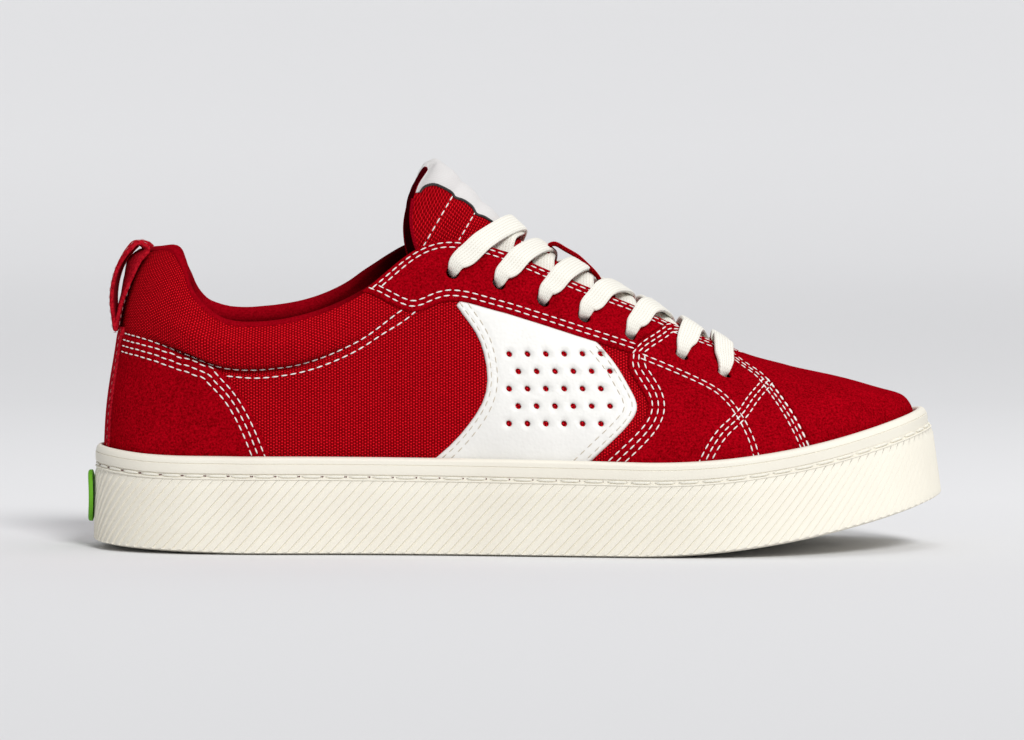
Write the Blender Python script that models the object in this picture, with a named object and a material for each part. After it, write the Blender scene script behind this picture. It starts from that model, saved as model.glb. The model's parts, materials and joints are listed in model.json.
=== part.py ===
"""Right low-top skate shoe: cupsole, hollow canvas upper with suede and leather panels, tongue and laces.

Tables and shape functions work in millimetres; meshes are written in metres. +X runs to the toe, +Z up,
-Y to the lateral (outer) side, and the origin is under the middle of the sole, on the floor.
"""

import math

import bmesh
import bpy
import numpy as np
from mathutils import Vector

MM = 0.001
GAP = 0.3  # clearance between touching pieces

# ---- Driving sizes ------------------------------------------------------------------------------------
STATIONS = 64  # columns round the shoe, shared by the upper, its panels and the cup
ROWS = 11  # rows up each column of the upper
RIBS = 160  # moulded ribs round the sole
RIB_DEPTH = 0.7
RIB_LEVELS = 3  # rings of points up each rib
RIB_LEAN = 10  # steps of half a rib that each rib leans towards the toe
RIB_FOOT = 1.2  # height of the plain band under the ribs
RIB_TOP = 8.3  # depth of the ribs' upper end below the rim
GROOVE_DEPTH = 0.8  # stitch groove between the ribs and the rim
GROOVE_BELOW_RIM = 7.0
GROOVE_HALF = 1.0
TREAD_EDGE = 3.0  # inset of the flat tread from the ribbed wall
TOE_SPRING = 18.5
SPRING_START = 42.0
SPRING_POWER = 1.75
TOE_END = 151.5
HEEL_RISE = 2.2
HEEL_RISE_START = -95.0

WALL = 1.8  # canvas with its lining
PANEL = 1.2  # suede and leather overlays
CUFF_ROOM = 2.1  # from the cup wall to the canvas: room for a panel and its clearances
TURN_BELOW_RIM = 12.0  # the upper leaves the vertical this far below the rim
HEEL_HUB = -104.0  # the columns fan out round these two points of the centre line
TOE_HUB = 95.0
THROAT_BEND = 40.0  # in front of this the throat closes in a round end
THROAT_END = 78.0

EYELET_HOLE = 2.3  # radius
LACE_WIDTH = 8.0
LACE_THICK = 1.7
INSOLE_THICK = 4.5
WEBBING = 1.8
WEBBING_WIDTH = 22.0
LABEL = 0.7
KEEPER_HALF = 6.0
KEEPER_THICK = 0.9
LACE_LIFT = 1.7  # clearance of the laces' underside from the tongue
BADGE = (8.0, 9.2, 1.4)  # half width, half height and thickness
BADGE_HEIGHT = 18.2
HEEL_RADIUS = 41.0

# Plan outline of the ribbed wall, one row for each section from heel to toe.
SOLE_PLAN_COLUMNS = ("x", "lateral", "medial")
HEEL_TIP = (-151.2, 2.0)
TOE_TIP = (TOE_END, 6.5)
SOLE_PLAN = (
    (-147.0, -15.7, 19.7),
    (-136.8, -27.5, 31.5),
    (-120.0, -35.5, 39.5),
    (-95.0, -39.0, 42.0),
    (-60.0, -39.5, 40.0),
    (-25.0, -42.5, 37.5),
    (10.0, -48.0, 40.5),
    (45.0, -53.0, 48.5),
    (75.0, -54.0, 54.0),
    (100.0, -49.0, 54.0),
    (120.0, -39.5, 49.0),
    (136.8, -26.5, 39.0),
    (147.2, -11.5, 24.5),
)

# Side wall of the cup: height above the bottom line, cup floor above it, lean of the wall, rim thickness,
# and how far down the rim's outer edge is rounded.
SOLE_WALL_COLUMNS = ("x", "side", "floor", "lean", "rim", "round")
SOLE_WALL = (
    (-151.0, 34.8, 12.8, 0.8, 2.2, 3.0),
    (-135.0, 33.8, 13.6, 0.9, 2.4, 2.4),
    (-100.0, 34.3, 14.4, 1.2, 3.0, 1.4),
    (-40.0, 34.1, 13.0, 1.5, 3.4, 1.2),
    (30.0, 33.3, 10.5, 1.6, 3.6, 1.2),
    (75.0, 32.3, 9.0, 2.0, 3.8, 1.4),
    (110.0, 32.3, 8.5, 3.0, 4.1, 2.2),
    (136.0, 33.0, 8.5, 4.3, 4.1, 4.0),
    (151.0, 33.4, 8.5, 5.0, 4.0, 4.8),
)

# Cross-sections of the upper: centre line, height of the (sometimes open) ridge, and two points of the
# wall as shares of the half width (reach) and of the height from the turn line to the ridge (rise).
LAST_COLUMNS = ("x", "centre", "ridge", "mid_reach", "mid_rise", "shoulder_reach", "shoulder_rise")
LAST = (
    (-146.0, 2.0, 125.0, 0.922, 0.410, 0.674, 0.790),
    (-125.0, 2.0, 124.0, 0.945, 0.380, 0.800, 0.700),
    (-104.0, 2.0, 121.0, 0.975, 0.340, 0.920, 0.580),
    (-80.0, 1.5, 120.0, 0.980, 0.330, 0.920, 0.580),
    (-50.0, 1.0, 122.0, 0.960, 0.380, 0.770, 0.700),
    (-20.0, 0.5, 117.0, 0.950, 0.420, 0.600, 0.914),
    (0.0, 0.5, 110.5, 0.900, 0.431, 0.520, 0.921),
    (40.0, 1.0, 90.5, 0.800, 0.526, 0.400, 0.943),
    (60.0, 2.0, 79.0, 0.820, 0.530, 0.360, 0.956),
    (77.0, 3.0, 69.3, 0.840, 0.545, 0.360, 0.947),
    (95.0, 4.0, 63.8, 0.860, 0.560, 0.420, 0.945),
    (120.0, 5.5, 59.2, 0.900, 0.680, 0.550, 0.930),
    (140.0, 6.5, 55.1, 0.969, 0.767, 0.725, 0.914),
)

# Height of the collar and throat edge on each side, height of the seam under the padded collar, how far
# the padding swells outwards, and how much thickness it adds.
EDGE_COLUMNS = ("x", "lateral", "medial", "pad_seam", "puff", "padding")
EDGE = (
    (-146.0, 106.2, 106.2, 77.0, 0.2, 4.5),
    (-134.0, 106.2, 105.2, 75.0, 0.4, 4.5),
    (-130.0, 104.6, 102.2, 74.0, 0.6, 4.7),
    (-127.5, 102.9, 99.9, 73.2, 0.8, 5.0),
    (-125.5, 101.3, 98.1, 72.6, 0.9, 5.1),
    (-123.5, 99.6, 96.2, 71.9, 1.0, 5.3),
    (-121.5, 97.3, 94.0, 71.2, 1.2, 5.4),
    (-119.6, 94.3, 91.7, 70.5, 1.3, 5.5),
    (-117.0, 90.9, 88.9, 69.6, 1.4, 5.5),
    (-113.5, 87.5, 86.1, 68.3, 1.6, 5.5),
    (-109.0, 84.2, 84.3, 66.5, 1.8, 5.5),
    (-104.0, 81.3, 83.2, 65.0, 1.8, 5.5),
    (-98.0, 79.8, 82.8, 64.2, 1.8, 5.5),
    (-92.0, 79.7, 83.2, 64.1, 1.8, 5.5),
    (-85.0, 80.2, 84.0, 64.7, 1.8, 5.5),
    (-77.0, 81.7, 85.6, 65.9, 1.8, 5.5),
    (-69.0, 84.1, 88.4, 68.3, 1.7, 5.1),
    (-61.0, 87.6, 92.7, 71.6, 1.3, 4.1),
    (-55.5, 90.8, 96.9, 74.3, 0.9, 2.9),
    (-52.0, 93.2, 99.4, 76.4, 0.6, 2.1),
    (-47.0, 97.5, 103.0, 80.0, 0.3, 1.0),
    (-41.0, 102.6, 106.7, 84.5, 0.0, 0.2),
    (-34.0, 107.0, 109.2, 88.0, 0.0, 0.0),
    (-27.0, 109.3, 109.8, 90.0, 0.0, 0.0),
    (-19.0, 109.3, 109.3, 90.0, 0.0, 0.0),
    (-7.0, 106.2, 106.2, 88.0, 0.0, 0.0),
    (5.0, 101.3, 101.3, 84.0, 0.0, 0.0),
    (19.0, 95.2, 95.2, 80.0, 0.0, 0.0),
    (40.0, 86.6, 86.6, 74.0, 0.0, 0.0),
)

# Lace holes of one side as seen from the side, from the top one to the toe, and the x where the lace that
# enters each pair crosses the middle of the tongue.
EYELETS_COLUMNS = ("x", "z", "crossing")
EYELETS = (
    (-22.8, 98.3, -2.0),
    (-6.7, 94.5, 8.8),
    (8.8, 88.5, 22.3),
    (23.2, 82.9, 36.5),
    (39.6, 76.6, 50.0),
    (57.5, 69.2, 63.0),
    (72.3, 62.5, 69.8),
)

# Tongue sections from its top end to the end under the vamp: the middle of its face, the point of its
# side edge, half width, how many degrees the section turns on each side, and the thickness.
TONGUE_COLUMNS = ("x", "middle", "z", "edge_x", "edge_z", "half", "turn", "thick")
TONGUE = (
    (-28.5, -1.0, 137.6, -32.5, 133.6, 15.0, 66.0, 3.0),
    (-25.5, -1.0, 135.8, -38.0, 125.0, 18.0, 84.0, 5.0),
    (-19.0, -1.3, 129.5, -40.5, 112.0, 17.0, 88.0, 5.5),
    (-9.0, -1.3, 119.5, -36.0, 97.0, 17.5, 86.0, 5.5),
    (3.0, -2.0, 108.6, -19.0, 86.0, 20.5, 82.0, 5.0),
    (20.0, -2.0, 98.6, 5.0, 76.0, 21.5, 78.0, 4.5),
    (40.0, -1.0, 87.5, 30.0, 66.5, 22.5, 74.0, 4.0),
    (60.0, 1.0, 75.5, 53.0, 58.5, 23.5, 66.0, 3.5),
    (76.0, 2.5, 65.0, 72.0, 51.5, 24.0, 60.0, 3.0),
    (90.0, 3.5, 59.5, 87.0, 48.5, 24.0, 56.0, 3.0),
)

# Edges of the panels as seen from the side; the medial side repeats them.
PANEL_COLUMNS = ("x", "z")
COUNTER_EDGE = (
    (-152.0, 77.0),
    (-138.0, 75.6),
    (-124.0, 72.1),
    (-115.8, 69.3),
    (-106.4, 65.4),
    (-98.4, 57.8),
    (-92.1, 47.3),
    (-86.9, 34.6),
    (-83.0, 24.0),
)
EYESTAY_EDGE = (
    (-56.0, 94.5),
    (-45.5, 87.8),
    (-38.5, 84.9),
    (-34.6, 84.9),
    (-24.1, 88.5),
    (-7.3, 84.9),
    (23.1, 75.4),
    (39.0, 70.3),
)
FACING_SEAM = (
    (39.0, 70.3),
    (42.3, 74.0),
    (46.9, 76.8),
    (52.5, 80.5),
    (60.0, 88.0),
)
FOREFOOT_EDGE = (
    (39.0, 70.3),
    (38.6, 65.5),
    (41.7, 59.9),
    (44.6, 55.1),
    (45.4, 51.9),
    (44.4, 48.3),
    (41.0, 44.0),
    (30.9, 34.6),
    (23.0, 27.0),
)
TOE_CAP_EDGE = (
    (75.0, 72.0),
    (82.0, 65.5),
    (86.6, 62.0),
    (92.5, 55.0),
    (97.3, 47.8),
    (101.8, 38.5),
    (105.5, 29.0),
)
SIDE_PANEL_FRONT = (
    (29.0, 72.6),
    (34.0, 66.5),
    (38.4, 59.3),
    (41.3, 53.4),
    (41.4, 50.4),
    (38.4, 45.6),
    (29.0, 36.4),
    (18.0, 26.0),
)
SIDE_PANEL_REAR = (
    (-38.0, 26.0),
    (-20.0, 42.0),
    (-11.0, 57.0),
    (-13.0, 74.0),
    (-21.5, 87.0),
)

# Middle line of the pull loop's outer webbing, from its foot to the top.
PULL_LOOP_COLUMNS = ("x", "z")
PULL_LOOP = (
    (-142.9, 77.6),
    (-143.6, 82.0),
    (-144.2, 88.0),
    (-143.6, 94.2),
    (-141.6, 100.6),
    (-138.8, 105.8),
    (-136.1, 108.4),
)
LOOP_HEIGHTS = (105.5, 101.0, 96.0, 91.0, 86.0, 81.0)  # where its inner webbing lies against the heel

# Lower edge of the folded label at the top of the tongue, as seen from the side.
LABEL_EDGE = (
    (-60.0, 127.0),
    (-36.0, 126.0),
    (-32.4, 128.6),
    (-26.7, 127.6),
    (-19.6, 123.2),
    (-15.3, 119.6),
    (-8.0, 118.6),
    (0.0, 118.0),
)

# The keeper that holds the laces to the tongue: its middle line as x and lift off the tongue.
KEEPER_COLUMNS = ("x", "lift")
KEEPER = (
    (15.4, 0.8),
    (15.9, 3.4),
    (18.0, 6.0),
    (21.6, 7.0),
    (26.0, 6.0),
    (28.6, 3.4),
    (29.4, 0.8),
)

RED_CANVAS = ("red_canvas", (0.43, 0.0, 0.012), 0.85)
RED_SUEDE = ("red_suede", (0.40, 0.0, 0.010), 0.95)
DARK_RED = ("dark_red_lining", (0.20, 0.0, 0.008), 0.80)
CREAM_RUBBER = ("cream_rubber", (0.86, 0.82, 0.72), 0.55)
WHITE_LEATHER = ("white_leather", (0.86, 0.87, 0.88), 0.50)
CREAM_LACE = ("cream_lace", (0.90, 0.88, 0.82), 0.85)
WHITE_LABEL = ("white_label", (0.76, 0.74, 0.71), 0.60)
GREEN_RUBBER = ("green_rubber", (0.10, 0.35, 0.01), 0.45)


# ---- Tables and curves --------------------------------------------------------------------------------
def smooth(table, columns, name, at):
    """The named column of a table at the given x, joined by a smooth curve through its rows."""
    knots = np.array([row[0] for row in table])
    values = np.array([row[columns.index(name)] for row in table])
    slopes = np.gradient(values, knots)
    at = np.clip(np.asarray(at, float), knots[0], knots[-1])
    index = np.clip(np.searchsorted(knots, at) - 1, 0, len(knots) - 2)
    width = knots[index + 1] - knots[index]
    t = (at - knots[index]) / width
    return (
        (2 * t**3 - 3 * t**2 + 1) * values[index]
        + (t**3 - 2 * t**2 + t) * width * slopes[index]
        + (3 * t**2 - 2 * t**3) * values[index + 1]
        + (t**3 - t**2) * width * slopes[index + 1]
    )


def curve_through(points, steps, closed=False):
    """A centripetal spline through the points, with the given number of steps between two of them."""
    points = np.asarray(points, float)
    if closed:
        padded = np.vstack([points[-1], points, points[:2]])
    else:
        padded = np.vstack([2 * points[0] - points[1], points, 2 * points[-1] - points[-2]])
    out = []
    for p0, p1, p2, p3 in zip(padded, padded[1:], padded[2:], padded[3:]):
        t1 = np.linalg.norm(p1 - p0) ** 0.5
        t2 = t1 + np.linalg.norm(p2 - p1) ** 0.5
        t3 = t2 + np.linalg.norm(p3 - p2) ** 0.5
        t = np.linspace(t1, t2, steps, endpoint=False)[:, None]
        a1 = (t1 - t) / t1 * p0 + t / t1 * p1
        a2 = (t2 - t) / (t2 - t1) * p1 + (t - t1) / (t2 - t1) * p2
        a3 = (t3 - t) / (t3 - t2) * p2 + (t - t2) / (t3 - t2) * p3
        b1 = (t2 - t) / t2 * a1 + t / t2 * a2
        b2 = (t3 - t) / (t3 - t1) * a2 + (t - t1) / (t3 - t1) * a3
        out.append((t2 - t) / (t2 - t1) * b1 + (t - t1) / (t2 - t1) * b2)
    if not closed:
        out.append(points[-1:])
    return np.vstack(out)


def at_shares(line, shares):
    """Points of a polyline at the given shares of its length."""
    steps = np.linalg.norm(np.diff(line, axis=0), axis=1)
    run = np.concatenate([[0.0], np.cumsum(steps)])
    return np.stack([np.interp(np.asarray(shares) * run[-1], run, axis) for axis in line.T], axis=-1)


def smoothstep(low, high, value):
    t = np.clip((value - low) / (high - low), 0.0, 1.0)
    return t * t * (3 - 2 * t)


# ---- Sole outline -------------------------------------------------------------------------------------
def bottom(x):
    """Height of the sole's underside: flat in the middle, rising to the toe and a little to the heel."""
    x = np.asarray(x, float)
    beyond = np.clip((x - SPRING_START) / (TOE_END - SPRING_START), 0.0, None)
    behind = np.clip((HEEL_RISE_START - x) / (HEEL_RISE_START - HEEL_TIP[0]), 0.0, None)
    return TOE_SPRING * beyond**SPRING_POWER + HEEL_RISE * behind**1.3


def wall(name, x):
    return smooth(SOLE_WALL, SOLE_WALL_COLUMNS, name, x)


def rim_top(x):
    return bottom(x) + wall("side", x)


def cup_floor(x):
    return bottom(x) + wall("floor", x)


def sole_outline(count):
    """count points round the ribbed wall, from the heel along the lateral side, and their outward normals."""
    lateral = [(x, low) for x, low, _ in SOLE_PLAN]
    medial = [(x, high) for x, _, high in reversed(SOLE_PLAN)]
    loop = curve_through([HEEL_TIP, *lateral, TOE_TIP, *medial], 60, closed=True)
    toe = int(np.argmin(np.linalg.norm(loop - np.array(TOE_TIP), axis=1)))
    shares = np.linspace(0.0, 1.0, count // 2, endpoint=False)
    there = at_shares(loop[: toe + 1], shares)
    back = at_shares(np.vstack([loop[toe:], loop[:1]]), shares)
    points = np.vstack([there, back])
    along = np.roll(points, -1, axis=0) - np.roll(points, 1, axis=0)
    normals = np.stack([along[:, 1], -along[:, 0]], axis=1)
    normals /= np.linalg.norm(normals, axis=1)[:, None]
    middle = points.mean(axis=0)
    if ((points - middle) * normals).sum() < 0:
        normals = -normals
    return points, normals


def inset_outline(count, inset):
    """The sole outline moved inwards by inset, a number or a function of x."""
    points, normals = sole_outline(count)
    amount = inset(points[:, 0]) if callable(inset) else np.full(count, float(inset))
    return points - normals * amount[:, None]


def cup_inset(x):
    return wall("lean", x) + wall("rim", x)


def upper_inset(x):
    return cup_inset(x) + CUFF_ROOM


# ---- Shape of the upper -------------------------------------------------------------------------------
FINE = 400  # points of the upper's own outline
SHARES = np.linspace(0.0, 1.0, 49)  # steps along a cross-section
KNOTS = np.array([0.0, 0.36, 0.70, 1.0])  # where the section meets its mid point and its shoulder


def last(name, x):
    return smooth(LAST, LAST_COLUMNS, name, x)


def edge(name, x):
    return smooth(EDGE, EDGE_COLUMNS, name, x)


def hub_of(x):
    return np.clip(x, HEEL_HUB, TOE_HUB)


def hermite(values, flat_start):
    """Rows of values at KNOTS joined smoothly over SHARES, with no slope at the start or at the end."""
    slopes = np.gradient(values, KNOTS, axis=1)
    slopes[:, 0] *= 0.0 if flat_start else 1.5
    slopes[:, -1] *= 1.5 if flat_start else 0.0
    index = np.clip(np.searchsorted(KNOTS, SHARES) - 1, 0, len(KNOTS) - 2)
    width = KNOTS[index + 1] - KNOTS[index]
    t = (SHARES - KNOTS[index]) / width
    return (
        (2 * t**3 - 3 * t**2 + 1) * values[:, index]
        + (t**3 - 2 * t**2 + t) * width * slopes[:, index]
        + (3 * t**2 - 2 * t**3) * values[:, index + 1]
        + (t**3 - t**2) * width * slopes[:, index + 1]
    )


def section(column):
    """Reach and rise along the cross-section of each column: upright at the outline, level at the ridge."""
    column = np.atleast_1d(column)
    one = np.ones(column.shape)
    reaches = np.stack([one, last("mid_reach", column), last("shoulder_reach", column), 0 * one], axis=1)
    rises = np.stack([0 * one, last("mid_rise", column), last("shoulder_rise", column), one], axis=1)
    return hermite(reaches, True), hermite(rises, False)


def outline_sides():
    """For each side: angle round the hub, distance from it, x, and distance from the centre line."""
    loop = inset_outline(FINE, upper_inset)
    halves = {-1: loop[: FINE // 2 + 1], 1: np.vstack([loop[FINE // 2 :], loop[:1]])[::-1]}
    sides = {}
    for side, half in halves.items():
        hub = hub_of(half[:, 0])
        across = np.maximum((half[:, 1] - last("centre", hub)) * side, 0.0)
        along = half[:, 0] - hub
        sides[side] = (np.arctan2(along, across), np.hypot(along, across), half[:, 0], across)
    return sides


SIDES = outline_sides()


def station_of(x, y):
    """Reach of a plan point from the centre line to the outline, and the x where its column starts."""
    hub = hub_of(x)
    centre = last("centre", hub)
    reach = np.zeros(x.shape)
    column = np.array(x, float)
    for side, (angles, far, xs, across) in SIDES.items():
        here = (y - centre) * side >= 0
        off = np.abs(y - centre)
        straight = here & (x == hub)
        reach = np.where(straight, off / np.maximum(np.interp(x, xs, across), 1.0), reach)
        turned = here & (x != hub)
        angle = np.arctan2(x - hub, off)
        distance = np.interp(angle, angles, far)
        reach = np.where(turned, np.hypot(x - hub, off) / distance, reach)
        column = np.where(turned, hub + distance * np.sin(angle), column)
    return reach, column


def turn_line(x):
    """Height where the upper leaves the vertical, inside the cup."""
    return rim_top(x) - TURN_BELOW_RIM


def surface_height(x, y):
    """Height of the upper's face over plan points, before the collar is padded."""
    x, y = np.broadcast_arrays(np.asarray(x, float), np.asarray(y, float))
    reach, column = station_of(x.ravel(), y.ravel())
    reaches, rises = section(column)
    rise = np.array([np.interp(-r, -along, up) for r, along, up in zip(reach, reaches, rises)])
    low = turn_line(column)
    return (low + (last("ridge", x.ravel()) - low) * rise).reshape(x.shape)


def side_point(x, z, side):
    """Point of the unpadded face at a given x and height, on the lateral (-1) or medial (1) side."""
    hub = float(hub_of(x))
    centre = float(last("centre", hub))
    low, high = 0.0, 70.0
    for _ in range(40):
        middle = (low + high) / 2
        reach, _ = station_of(np.array([x]), np.array([centre + side * middle]))
        inside = reach[0] < 1 and surface_height(x, centre + side * middle) > z
        low, high = (middle, high) if inside else (low, middle)
    return np.array([x, centre + side * low, z])


def throat_end(share, half):
    """Plan offset from THROAT_BEND and share of the half width, round the closed end of the throat."""
    angle = share * math.pi / 2
    return (THROAT_END - THROAT_BEND) * math.sin(angle), half * math.cos(angle) ** 0.8


def column_ends(count):
    """Plan start and end of each column: on the outline, and on the edge of collar and throat."""
    starts = inset_outline(count, upper_inset)
    ends = np.empty_like(starts)
    toe = count // 2
    for i, (x, y) in enumerate(starts):
        side = -1 if i <= toe else 1
        hub = float(hub_of(x))
        centre = float(last("centre", hub))
        if x <= THROAT_BEND:
            height = float(edge("lateral" if side < 0 else "medial", x))
            reaches, rises = section(x)
            low = float(turn_line(x))
            heights = low + (last("ridge", hub + reaches[0] * (x - hub)) - low) * rises[0]
            reach = float(np.interp(height, heights, reaches[0]))
            ends[i] = (hub + reach * (x - hub), centre + reach * (y - centre))
    for side in (-1, 1):
        front = [i for i in range(count) if starts[i, 0] > THROAT_BEND and (i <= toe) == (side < 0)]
        front = sorted(front, key=lambda i: abs(i - toe), reverse=True)
        bend = side_point(THROAT_BEND, float(edge("lateral", THROAT_BEND)), side)
        half = abs(bend[1] - float(last("centre", THROAT_BEND)))
        steps = len(front) + (0 if side < 0 else 1)
        for k, i in enumerate(front, start=1):
            ahead, wide = throat_end(min(k / steps, 1.0), half)
            x = THROAT_BEND + ahead
            ends[i] = (x, float(last("centre", x)) + side * wide)
    return starts, ends


def raw_grid(count, rows):
    """The upper's face before padding, as count columns of rows points from the cup floor to the edge."""
    starts, ends = column_ends(count)
    shares = np.linspace(0.0, 1.0, 60) ** 2
    plan = starts[:, None] + (ends - starts)[:, None] * shares[None, :, None]
    plan[:, 0] = starts
    heights = surface_height(plan[..., 0], plan[..., 1])
    heights[:, 0] = turn_line(starts[:, 0])
    grid = np.empty((count, rows, 3))
    for i in range(count):
        foot = [*starts[i], float(cup_floor(starts[i, 0])) + GAP]
        path = np.vstack([foot, np.column_stack([plan[i], heights[i]])])
        grid[i] = at_shares(path, np.linspace(0.0, 1.0, rows))
    return grid


def normals_of(grid, closed):
    """Unit normals of a grid of points, outwards where its columns run round the shoe as these do."""
    if closed:
        along = np.roll(grid, -1, axis=0) - np.roll(grid, 1, axis=0)
    else:
        along = np.gradient(grid, axis=0)
    up = np.gradient(grid, axis=1)
    normals = np.cross(along, up)
    return normals / np.linalg.norm(normals, axis=2)[..., None]


def collar_share(grid):
    """How far up the padded collar each point is, and the x of its column."""
    columns = grid[:, 0, 0][:, None]
    lateral = (np.arange(len(grid)) <= len(grid) // 2)[:, None]
    top = np.where(lateral, edge("lateral", columns), edge("medial", columns))
    seam = edge("pad_seam", columns)
    return np.clip((grid[..., 2] - seam) / (top - seam), 0.0, 1.0), columns


def upper_faces(count, rows):
    """The upper's outer face, its normals, and its thickness at each point."""
    grid = raw_grid(count, rows)
    normals = normals_of(grid, True)
    share, columns = collar_share(grid)
    grid = grid + normals * (edge("puff", columns) * np.sin(0.75 * math.pi * share))[..., None]
    normals = normals_of(grid, True)
    return grid, normals, WALL + edge("padding", columns) * smoothstep(0.0, 0.7, share)


# ---- Meshes -------------------------------------------------------------------------------------------
def material_of(look):
    name, colour, roughness = look
    material = bpy.data.materials.get(name)
    if material is None:
        material = bpy.data.materials.new(name)
        material.use_nodes = True
        shader = material.node_tree.nodes["Principled BSDF"]
        shader.inputs["Base Color"].default_value = (*colour, 1.0)
        shader.inputs["Roughness"].default_value = roughness
        shader.inputs["Metallic"].default_value = 0.0
        material.diffuse_color = (*colour, 1.0)
    return material


def add_object(name, points, faces, look, collection):
    """A closed mesh from points in millimetres, its faces turned outwards."""
    mesh = bpy.data.meshes.new(name)
    mesh.from_pydata([tuple(float(v) * MM for v in p) for p in points], [], faces)
    shape = bmesh.new()
    shape.from_mesh(mesh)
    bmesh.ops.remove_doubles(shape, verts=shape.verts, dist=1e-7)
    bmesh.ops.recalc_face_normals(shape, faces=shape.faces)
    shape.to_mesh(mesh)
    shape.free()
    mesh.shade_smooth()
    mesh.set_sharp_from_angle(angle=math.radians(40))
    if look:
        mesh.materials.append(material_of(look))
    obj = bpy.data.objects.new(name, mesh)
    collection.objects.link(obj)
    return obj


def sheet_faces(columns, rows, closed, first=0):
    """Triangles of a grid stored column by column, closed round or not."""
    faces = []
    for i in range(columns if closed else columns - 1):
        j = (i + 1) % columns
        for k in range(rows - 1):
            low, high = first + i * rows + k, first + j * rows + k
            faces += [(low, high, high + 1), (low, high + 1, low + 1)]
    return faces


def add_tube(name, loops, look, collection):
    """A solid ring: loops[i] is the closed section at column i, and the last column joins the first."""
    columns, rows = loops.shape[:2]
    faces = []
    for i in range(columns):
        j = (i + 1) % columns
        for k in range(rows):
            n = (k + 1) % rows
            faces += [(i * rows + k, j * rows + k, j * rows + n), (i * rows + k, j * rows + n, i * rows + n)]
    return add_object(name, loops.reshape(-1, 3), faces, look, collection)


def add_slab(name, outer, inner, look, collection):
    """A solid between two open grids of the same size."""
    columns, rows = outer.shape[:2]
    faces = sheet_faces(columns, rows, False) + sheet_faces(columns, rows, False, columns * rows)
    rim = [i * rows for i in range(columns)]
    rim += [(columns - 1) * rows + k for k in range(1, rows)]
    rim += [i * rows + rows - 1 for i in range(columns - 2, -1, -1)]
    rim += [k for k in range(rows - 2, 0, -1)]
    shift = columns * rows
    for a, b in zip(rim, rim[1:] + rim[:1]):
        faces.append((a, b, b + shift, a + shift))
    points = np.vstack([outer.reshape(-1, 3), inner.reshape(-1, 3)])
    return add_object(name, points, faces, look, collection)


# ---- Sole ---------------------------------------------------------------------------------------------
def sole_ring(count, inset, height, shift=0.0):
    """A ring round the sole: inset and height above the bottom line are functions of x."""
    points, normals = sole_outline(count)
    if shift:
        shares = (np.arange(count) + shift) / count
        fine, fine_normals = sole_outline(FINE * 4)
        index = np.round(shares * len(fine)).astype(int) % len(fine)
        points, normals = fine[index], fine_normals[index]
    x = points[:, 0]
    plan = points - normals * np.broadcast_to(inset(x), x.shape)[:, None]
    return np.column_stack([plan, bottom(plan[:, 0]) + height(x)])


def build_sole(collection):
    coarse, fine = STATIONS, 2 * RIBS
    ratio = fine // coarse
    ridge_or_valley = RIB_DEPTH * (np.arange(fine) % 2)
    rings = [
        sole_ring(coarse, lambda x: TREAD_EDGE + 0 * x, lambda x: 0 * x),
        sole_ring(coarse, lambda x: RIB_DEPTH + 0 * x, lambda x: RIB_FOOT - 0.4 + 0 * x),
    ]
    for level in range(RIB_LEVELS):
        share = level / (RIB_LEVELS - 1)
        rings.append(
            sole_ring(
                fine,
                lambda x: ridge_or_valley + 0.65 * share * wall("lean", x),
                lambda x: RIB_FOOT + share * (wall("side", x) - RIB_TOP - RIB_FOOT),
                shift=RIB_LEAN * share,
            )
        )
    for below, deeper, lean in (
        (GROOVE_BELOW_RIM + GROOVE_HALF, GROOVE_DEPTH, 0.78),
        (GROOVE_BELOW_RIM - GROOVE_HALF, GROOVE_DEPTH, 0.84),
        (GROOVE_BELOW_RIM - GROOVE_HALF - 0.4, 0.0, 0.86),
    ):
        rings.append(
            sole_ring(
                coarse,
                lambda x: lean * wall("lean", x) + deeper,
                lambda x: wall("side", x) - below,
            )
        )
    for across, share, below in ((0.0, 1.0, 0.0), (0.22, 0.3, 0.0), (0.75, 0.0, 0.0), (1.0, 0.0, 0.8)):
        rings.append(
            sole_ring(
                coarse,
                lambda x: wall("lean", x) + across * wall("rim", x),
                lambda x: wall("side", x) - share * wall("round", x) - below,
            )
        )
    rings.append(sole_ring(coarse, cup_inset, lambda x: wall("floor", x)))
    points, faces, previous, previous_start = [], [], None, 0
    for ring in rings:
        start = len(points)
        points.extend(ring)
        size = len(ring)
        if previous is None:
            faces += cap_faces(start, coarse)
        elif previous == size:
            faces += [
                (previous_start + k, previous_start + (k + 1) % size, start + (k + 1) % size, start + k)
                for k in range(size)
            ]
        elif previous < size:
            faces += [fan_face(previous_start, start, k, coarse, ratio, 0) for k in range(coarse)]
        else:
            faces += [fan_face(start, previous_start, k, coarse, ratio, -RIB_LEAN) for k in range(coarse)]
        previous, previous_start = size, start
    faces += cap_faces(previous_start, coarse)
    return add_object("sole", points, faces, CREAM_RUBBER, collection)


def fan_face(coarse_start, fine_start, k, coarse, ratio, offset):
    """One face between a step of a coarse ring and the ratio steps of a fine ring beside it."""
    fine = coarse * ratio
    many = [fine_start + (k * ratio + offset + j) % fine for j in range(ratio, -1, -1)]
    return (coarse_start + k, coarse_start + (k + 1) % coarse, *many)


def cap_faces(start, count):
    """Strips across a ring, each between a step of one side and the same step of the other."""
    half = count // 2
    faces = [(start, start + 1, start + count - 1), (start + half - 1, start + half, start + half + 1)]
    for k in range(1, half - 1):
        faces.append((start + k, start + k + 1, start + count - k - 1, start + count - k))
    return faces


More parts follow.
